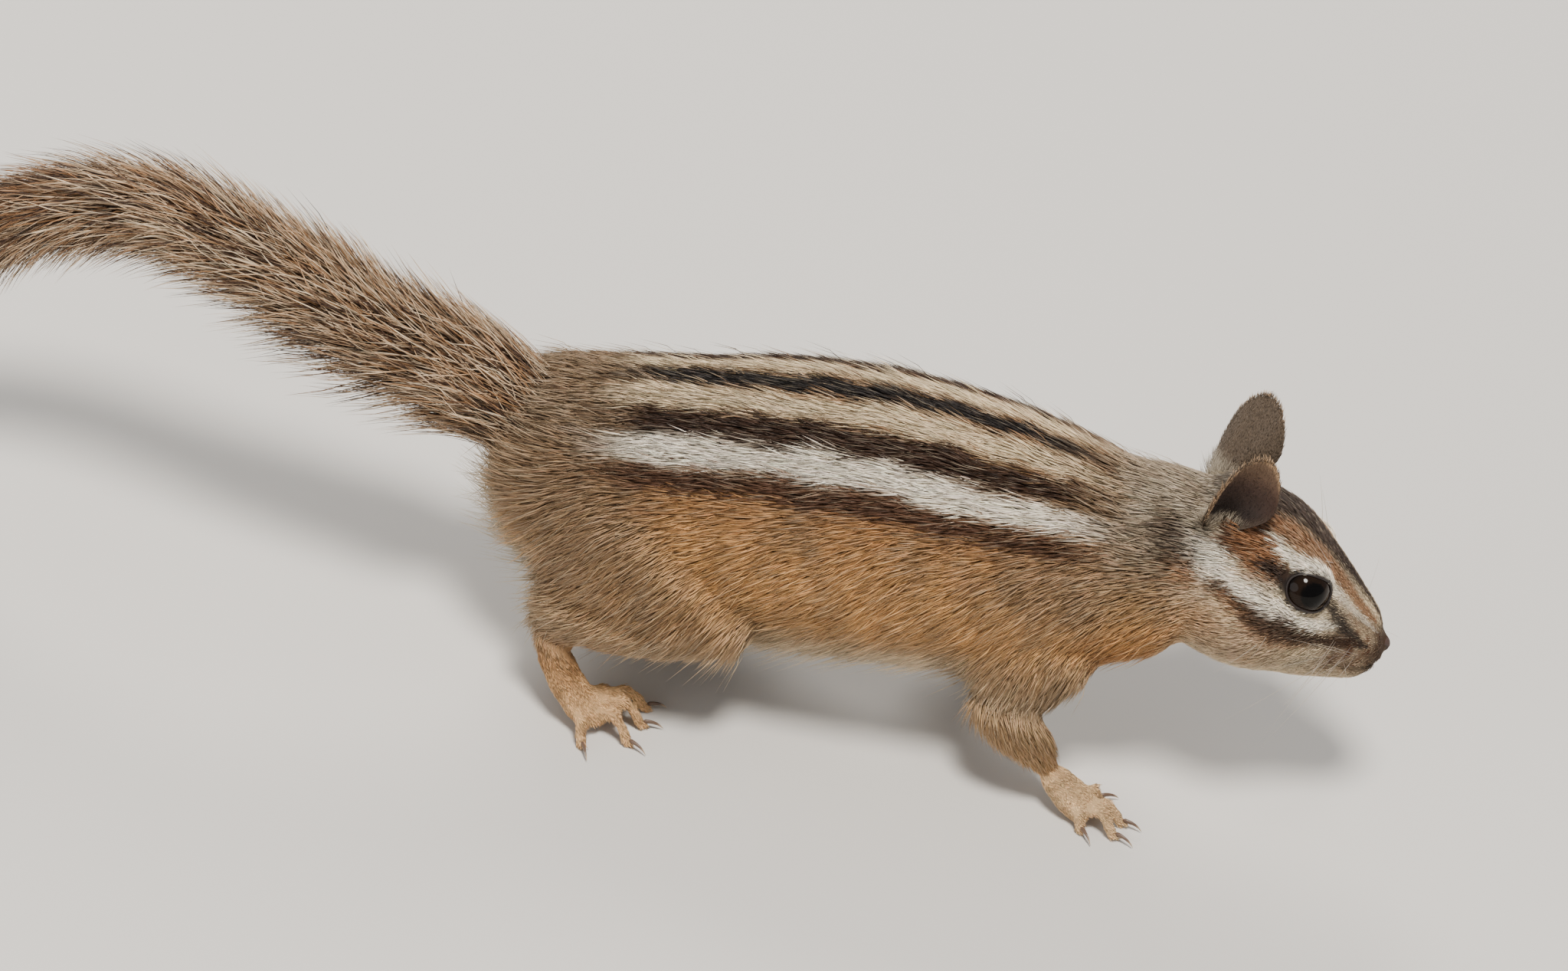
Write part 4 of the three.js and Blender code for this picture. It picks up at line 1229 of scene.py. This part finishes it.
tail_spine[..., 2] = np.maximum(tail_spine[..., 2], 0.5)
tail_way = unit(tail_spine[:, 2] - tail_spine[:, 0])
tail_middle = beside_tail(start, start_angle, 0 * start)
tail_up = unit(beside_tail(start, start_angle, 0 * start + 5) - tail_middle)
tail_side = unit(np.cross(tail_way, tail_up))
top_share = ease(-0.2, 0.9, np.sin(start_angle))
far_share = ease(48, 78, start)
kind = draw.random((TAIL_TUFTS, 1))
warm = laid_over(plain(TAWNY, start), (GRIZZLE, 0.25), (RUST, 0.75 * far_share * top_share))
banded = np.where(kind < DARK_BANDED, BLACK * 1.8, warm * 0.8)
warmer = draw.uniform(0.2, 1, TAIL_TUFTS) + 0.45 * far_share * top_share
outer = np.where(kind < DARK_TIPPED, UMBER * 0.6, mix(plain(FROST, start), warm, warmer))
grain = draw.normal(1, 0.1, (TAIL_TUFTS, 1)) * (1 + 0.22 * wander(tail_spine[:, 1], 4, 21)[:, None])
# the roots darker than the rest of each hair: painted shade deep in the brush
tail_shades = np.stack([warm * 0.4, banded, outer, outer * 1.08], 1) * grain[:, None]
along_share = (start - TAIL_FROM) / (TAIL_TO - TAIL_FROM)
tail_map = np.stack([0.61 + 0.37 * along_share, 0.74 + 0.25 * start_angle / (2 * pi)], -1)
tail_width = 0.19 * draw.uniform(0.8, 1.2, TAIL_TUFTS)
tail_rows = (tail_spine, tail_side, tail_up, tail_width, tail_shades, tail_map)
for name, mine in (("coat_tail_near", start < NEAR_PART), ("coat_tail_far", start >= NEAR_PART)):
    rows = (values[mine] for values in tail_rows)
    dress(name, sliver_mesh(name, *rows, LONG_THICKNESS), finish["fur"])

# %% [markdown]
# ## Ears
# Each ear is a thin leaf-shaped cup with a turned-in front rim. A sphere pressed flat and bent gives both
# its faces and the rounded rim at once, on the same sizes as the solid. Down covers its back, a fringe
# edges its rim, and long pale wisps stand at its lower end. The sphere's faces can come in another order
# each time, so they are sorted before any hair is drawn on them.

# %% Make the ears
EAR_HEIGHT, EAR_WIDTH, EAR_DEPTH, EAR_WALL = 14.0, 8.8, 3.2, 0.55
EAR_RIM, EAR_INSIDE, EAR_BACK = paint(204, 168, 128), paint(64, 46, 38), paint(80, 68, 56)
EAR_TURN = {1: 0.85, -1: 0.5}  # how far the left and the right one are turned ahead
EAR_HAIR = 0.085  # the width of its tufts


def ear_axes(side):
    """The ear's foot, the way up it, the way it faces and the way to its front rim."""
    rise = unit(np.array([0.08, side * 0.17, 1]))
    facing = np.array([EAR_TURN[side], side, 0])
    facing = unit(facing - rise * (facing @ rise))
    ahead = np.array([1, 0, 0]) - rise * rise[0] - facing * facing[0]
    return np.array([-7.5, side * 8.2, 5.2]), rise, facing, unit(ahead)


def ear_place(side):
    """The shape of the ear on that side."""
    base, rise, facing, ahead = ear_axes(side)

    def place(u, v):
        across, high, _ = round_way(u, v)
        wide = EAR_WIDTH / 2 * (1.04 + 0.04 * high - 0.14 * high * high)
        wide *= 1 - 0.6 * ease(0.1, -0.7, high) * ease(0, 0.5, across)
        hollow = -EAR_DEPTH * (1 - across * across) * (0.8 - 0.4 * high)
        turn = max(across, 0) ** 4
        wall = np.sign(0.5 - v) * abs(cos(pi * v)) ** 0.5 * EAR_WALL / 2
        at = base + rise * (1 + high) * EAR_HEIGHT / 2 + ahead * (across * wide - turn * 0.7)
        return Vector(out_of_head(at + facing * (hollow + wall + turn * 0.9 + EAR_DEPTH * 0.4)))

    return place


def ear_parts(points, normals, side):
    """How high each place of the ear is, how far across, and whether it is inside the cup or on the rim."""
    base, rise, facing, ahead = ear_axes(side)
    off = seen_from_head(points) - base
    high = off @ rise / EAR_HEIGHT
    across = off @ ahead / (EAR_WIDTH / 2)
    inside = ease(-0.1, 0.4, (normals @ HEAD_TURN) @ facing)
    rim = ease(0.9, 1.0, np.hypot(across, (high - 0.5) * 1.98))
    return high, across, inside, rim


def ear_colour(points, normals, side):
    high, across, inside, rim = ear_parts(points, normals, side)
    return laid_over(
        plain(EAR_BACK, points),
        (GREY * 0.45, ease(0.4, 0.0, high) * (1 - inside)),
        (EAR_INSIDE, inside),
        (EAR_RIM * 0.6, inside * ease(0.6, 1.0, high) * 0.25),
        # painted shade: the inside of the cup darker towards its lower middle, where shade falls deep in it
        (BLACK * 0.5, inside * ease(0.8, 0.3, high) * ease(1.2, 0.6, np.abs(across)) * 0.85),
        (EAR_RIM, rim * (0.15 + 0.75 * ease(-0.4, 0.6, across)) * (0.1 + 0.9 * inside)),
    )


def ear_hair(name, side, ear_points, ear_normals, corners):
    """The ear's down, fringe and wisps as one piece of tufts."""
    _, rise_way, _, ahead = ear_axes(side)
    high, _, inside, rim = ear_parts(ear_points, ear_normals, side)
    density = 26 * (1 - inside) + 9 * inside + 30 * rim + 16 * ease(0.3, 0.05, high)
    which, weights = roots_on(ear_points, corners, density, draw)
    root = at_roots(ear_points, corners, which, weights)
    normal = unit(at_roots(ear_normals, corners, which, weights))
    high, across, inside, rim = ear_parts(root, normal, side)
    up_ear = with_head(rise_way - 0.25 * ahead)
    way = up_ear - normal * (normal @ up_ear)[:, None] + draw.normal(0, 0.16, (len(root), 3))
    way = unit(way - normal * (way * normal).sum(1, keepdims=True))
    foot = ease(0.34, 0.05, high)
    length = (0.85 + 0.3 * rim + 2.0 * foot) * draw.uniform(0.6, 1.2, len(root))
    rise = (14 + 14 * rim + 16 * foot) * draw.uniform(0.4, 1.6, len(root))
    tint = ear_colour(root, normal, side)
    tint = mix(tint, EAR_RIM * 0.8, rim * 0.4 * inside)
    tint = mix(tint, GREY * (0.4 + 0.4 * inside[:, None]), foot * 0.8) * draw.normal(1, 0.2, (len(root), 1))
    spines = hair_spines(root, normal, way, length, rise, STEPS)
    shade = np.stack([tint * 0.8, tint, tint * 1.2], 1)
    place = np.stack([0.05 + 0.4 * high + 0.5 * (inside > 0.5), 0.5 + 0.4 * across], -1)
    width = np.full(len(root), EAR_HAIR)
    mesh = sliver_mesh(name, spines, np.cross(way, normal), normal, width, shade, place, THICKNESS)
    dress(name, mesh, finish["fur"])


for side_name, side in SIDES.items():
    name = "ear_" + side_name
    cup = moulded(56, 30, ear_place(side))
    bmesh.ops.triangulate(cup, faces=cup.faces)
    mesh = finished(cup, name + "_fine")
    ear_points, ear_normals = points_of(mesh), normals_of(mesh)
    colour_points(mesh, ear_colour(ear_points, ear_normals, side))
    corners = np.unique(np.sort(corners_of(mesh).reshape(-1, 3), axis=1), axis=0)
    ear_hair("coat_" + name, side, ear_points, ear_normals, corners)
    dress(name + "_fine", mesh, finish["ear_skin"], [name])

# %% [markdown]
# ## Eyes
# The eye is a ball with a slightly steeper front, nearly black and wet. Its index of refraction is that of
# a real cornea, so it reflects little but the lamp. The dark brown ring about the pupil shows only from
# near by.

# %% Make the eyes
CORNEA_HEIGHT = 0.14
EYE_BLACK, IRIS = paint(5, 4, 4), paint(26, 17, 11)


def eye_place(side):
    """The shape of the eye on that side."""
    axis = EYE_AXIS * (1, side, 1)

    def place(u, v):
        way = round_way(u, v)
        angle = np.degrees(np.arccos(np.clip(way @ axis, -1, 1)))
        out = EYE_RADIUS + CORNEA_HEIGHT * bell(angle / 30)
        return Vector(out_of_head(eye_at * (1, side, 1) + way * out))

    return place


for side_name, side in SIDES.items():
    name = "eye_" + side_name
    mesh = finished(moulded(64, 40, eye_place(side)), name + "_fine")
    off = seen_from_head(points_of(mesh)) * (1, side, 1) - eye_at
    turned_off = np.degrees(np.arccos(np.clip(unit(off) @ EYE_AXIS, -1, 1)))
    ring = ease(26, 30, turned_off) * ease(62, 44, turned_off)
    colour_points(mesh, mix(plain(EYE_BLACK, off), IRIS, ring))
    dress(name + "_fine", mesh, finish["eye_gloss"], [name])

# %% [markdown]
# ## Lids
# The margin of the lids is a narrow dark ring on the ball, bare and damp, with a longer corner towards the
# nose. A circle spun full round makes a ring, and its points are then laid on the ball.

# %% Make the lids
LID_RADIUS = 0.3
LID_COLOUR = paint(34, 26, 23)
for side_name, side in SIDES.items():
    name = "lids_" + side_name
    ring = bmesh.new()
    section = bmesh.ops.create_circle(ring, segments=10, radius=LID_RADIUS)["verts"]
    turn_up = Matrix.Translation((1, 0, 0)) @ Matrix.Rotation(pi / 2, 4, "X")
    bmesh.ops.transform(ring, matrix=turn_up, verts=section)
    bmesh.ops.spin(
        ring, geom=ring.verts[:] + ring.edges[:], cent=(0, 0, 0), axis=(0, 0, 1), dvec=(0, 0, 0),
        angle=2 * pi, steps=90, use_merge=True,
    )
    for vert in ring.verts:
        turn = np.arctan2(vert.co.y, vert.co.x)
        wide = np.hypot(vert.co.x, vert.co.y) - 1
        angle = radians(lid_margin(turn) + wide * 8)
        way = EYE_AXIS * cos(angle) + (EYE_AHEAD * cos(turn) + EYE_UP * sin(turn)) * sin(angle)
        at = eye_at + way * (EYE_RADIUS + 0.1 + vert.co.z * 0.6)
        vert.co = Vector(out_of_head(at * (1, side, 1)))
    mesh = finished(ring, name)
    colour_points(mesh, plain(LID_COLOUR, mesh.vertices))
    dress(name, mesh, finish["lid_margin"])

# %% [markdown]
# ## Nose
# The bare tip of the nose is a small dark pad with two comma-shaped nostrils and a groove between them. The
# nostrils' shallow pits are painted nearly black, as painted shade inside the openings. It sits in the end
# of the muzzle, so only its front shows.

# %% Make the nose
NOSE_RADII = np.array([1.85, 1.65, 1.35])
NOSE_COLOUR, NOSTRIL_SHADE_COLOUR = paint(72, 55, 49), paint(22, 16, 14)


def nose_place(u, v):
    way = round_way(u, v)
    at = NOSE_PLACE + way * NOSE_RADII
    pit = bell(length_of((at * (1, np.sign(at[1]), 1) - NOSTRIL) / (0.75, 0.42, 0.5))[0])
    groove = bell(at[1] / 0.16) * ease(-1.9, -2.7, at[2])
    return Vector(out_of_head(at - way * (0.55 * pit + 0.22 * groove)))


mesh = finished(moulded(56, 40, nose_place), "nose_fine")
off = (np.abs(seen_from_head(points_of(mesh))) - np.abs(NOSTRIL)) / (0.9, 0.5, 0.6)
pit_shade = ease(1.3, 0.5, length_of(off)[:, 0])
# painted shade: the nostrils' pits nearly black, as the shade inside the openings
colour_points(mesh, mix(plain(NOSE_COLOUR, off), NOSTRIL_SHADE_COLOUR, pit_shade))
dress("nose_fine", mesh, finish["nose_pad"], ["nose"])

# %% [markdown]
# ## Claws
# Each toe ends in a thin curved claw of dark horn that is paler at its point. A claw is a long sphere whose
# rings follow a bent line and taper to nothing.

# %% Make the claws
CLAW_RADIUS = 0.36
HORN, HORN_TIP = paint(96, 76, 62), paint(172, 150, 126)
CLAW_GROUPS = {
    # each piece: the rows of TOES that it takes
    "claws_hind_right": range(5), "claws_hind_left": range(5, 10),
    "claws_fore_right": range(10, 14), "claws_fore_left": range(14, 18),
}


def claw_place(tip, way, end):
    """The shape of a claw from the toe's tip, along its way, to the claw's end."""
    first = tip - way * 0.7 + (0, 0, 0.35)
    bend = end - way * CLAW_LENGTH * 0.45
    bend[2] = tip[2] + 0.75
    last = end.copy()
    last[2] = 0.25
    across = np.array([-way[1], way[0], 0])

    def place(u, v):
        on = first * (1 - v) ** 2 + bend * 2 * v * (1 - v) + last * v * v
        radius = CLAW_RADIUS * min(1, 8 * v) * (1 - v) ** 0.75
        up = np.cross(unit((bend - first) * (1 - v) + (last - bend) * v), across)
        at = on + across * cos(2 * pi * u) * radius * 0.75 - up * sin(2 * pi * u) * radius
        return Vector((at[0], at[1], max(at[2], 0.02)))

    return place


for name, toes in CLAW_GROUPS.items():
    horn = bmesh.new()
    for i in toes:
        moulded(10, 14, claw_place(toe_tips[i], claw_way[i], TOES[i, 2]), horn)
    mesh = finished(horn, name)
    at = points_of(mesh)
    to_end = np.min([length_of(at - TOES[i, 2])[:, 0] for i in toes], axis=0)
    colour_points(mesh, mix(plain(HORN, at), HORN_TIP, ease(1.2, 0.2, to_end)))
    dress(name, mesh, finish["claw_horn"])

# %% [markdown]
# ## Whiskers
# Long stiff hairs stand on the whisker pads, over the eyes and on the cheeks. Each is a thin tube that
# tapers and sags a little. They are the only hairs that are modelled one by one.

# %% Set the whiskers
WHISKER_RADIUS = 0.04
WHISKER_ROOT, WHISKER_TIP = paint(96, 80, 70), paint(176, 162, 146)
WHISKER_BEDS = [
    # each: how many, where, how far about, the way they point, shortest, longest
    (14, (13.6, 5.0, -2.6), (2.2, 0.3, 1.4), (-0.15, 1.0, -0.1), 12, 22),
    (2, (6.5, 5.2, 7.4), (1.0, 0.4, 0.3), (-0.6, 0.5, 0.7), 5, 8),
    (2, (3.0, 11.0, -3.0), (1.0, 0.2, 1.0), (-0.3, 1.0, -0.2), 7, 10),
]


def whisker_place(first, reach, side):
    """The shape of a whisker from `first`, a place as on the left, that goes as far as `reach`."""
    sag = np.array([-0.08, 0.0, -0.05]) * length_of(reach)
    beside = unit(np.cross(reach, (0, 0, 1)))
    above = np.cross(unit(reach), beside)

    def place(u, v):
        on = first + reach * v + sag * v * v - unit(reach) * 0.8
        thick = WHISKER_RADIUS * (1 - 0.85 * v) * min(1, 20 * v, 20 - 20 * v)
        ring = beside * cos(2 * pi * u) + above * sin(2 * pi * u)
        return Vector(out_of_head((on + ring * thick) * (1, side, 1)))

    return place


for side_name, side in SIDES.items():
    name = "whiskers_" + side_name
    tubes = bmesh.new()
    for many, bed, about, way, short, longest in WHISKER_BEDS:
        for _ in range(many):
            first = np.array(bed) + draw.uniform(-1, 1, 3) * about
            reach = unit(np.array(way, float) + draw.normal(0, 0.3, 3)) * draw.uniform(short, longest)
            moulded(5, 14, whisker_place(first, reach, side), tubes)
    mesh = finished(tubes, name)
    far_out = length_of(seen_from_head(points_of(mesh)) - np.array([14, 4.6 * side, -3]))[:, 0]
    colour_points(mesh, mix(plain(WHISKER_ROOT, far_out), WHISKER_TIP, ease(1, 8, far_out)))
    dress(name, mesh, finish["whisker_hair"])

# %% [markdown]
# ## Floor, lights and air
# A plain pale floor and large soft lamps keep the attention on the coat. The key light stands high on the
# camera's right, as the photograph's highlights do.

# %% Set the floor and the lights
FLOOR_TONE = (0.62, 0.6, 0.57, 1)
AIR_TONE = (0.96, 0.97, 1.0, 1)
LAMPS = {
    # each: its place in metres, its size, its power and its tone
    "key": ((0.05, -0.4, 1.1), 0.3, 21, (1.0, 0.95, 0.88)),
    "fill": ((-0.9, -0.9, 0.5), 0.9, 4, (0.95, 0.97, 1.0)),
    "rim": ((-0.3, 0.9, 0.7), 0.6, 10, (1.0, 0.97, 0.92)),
}
floor_finish, floor_tree, floor_shader = new_material("floor_pale", 0.75, 0.2)
floor_tone = node(floor_tree, "ShaderNodeRGB")
floor_tone.outputs["Color"].default_value = FLOOR_TONE
vary(floor_tree, floor_shader, floor_tone.outputs["Color"], noise_of(floor_tree, 6, 4), 0.97, 1.03)
ground = bmesh.new()
bmesh.ops.create_grid(ground, x_segments=8, y_segments=8, size=4)
floor_mesh = bpy.data.meshes.new("floor")
ground.to_mesh(floor_mesh)
ground.free()
floor_mesh.materials.append(floor_finish)
floor = bpy.data.objects.new("floor", floor_mesh)
bpy.context.scene.collection.objects.link(floor)
floor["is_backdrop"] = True
for name, (place, size, power, tone) in LAMPS.items():
    lamp = bpy.data.objects.new(name, bpy.data.lights.new(name, "AREA"))
    lamp.data.shape = "DISK"
    lamp.data.size = size
    lamp.data.energy = power
    lamp.data.color = tone
    at = Vector(place)
    aim = (LOOKED_AT - at).to_track_quat("-Z", "Y").to_matrix().to_4x4()
    lamp.matrix_world = Matrix.Translation(at) @ aim
    bpy.context.scene.collection.objects.link(lamp)
air = bpy.data.worlds.new("air")
air.use_nodes = True
background = air.node_tree.nodes["Background"]
background.inputs["Color"].default_value = AIR_TONE
background.inputs["Strength"].default_value = 0.4
bpy.context.scene.world = air
print("lamps:", ", ".join(LAMPS))

# %% [markdown]
# ## Sizes
# The sizes of the solids' box and of the dressed animal's box are both printed. The dressed
# animal has to keep to the solids' size.

# %% Write both sizes and finish
dressed_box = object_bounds()
for name, box in (("solids", cad_box), ("dressed", dressed_box)):
    print(name, "in mm:", [round(1000 * (high - low), 1) for low, high in zip(*box)])
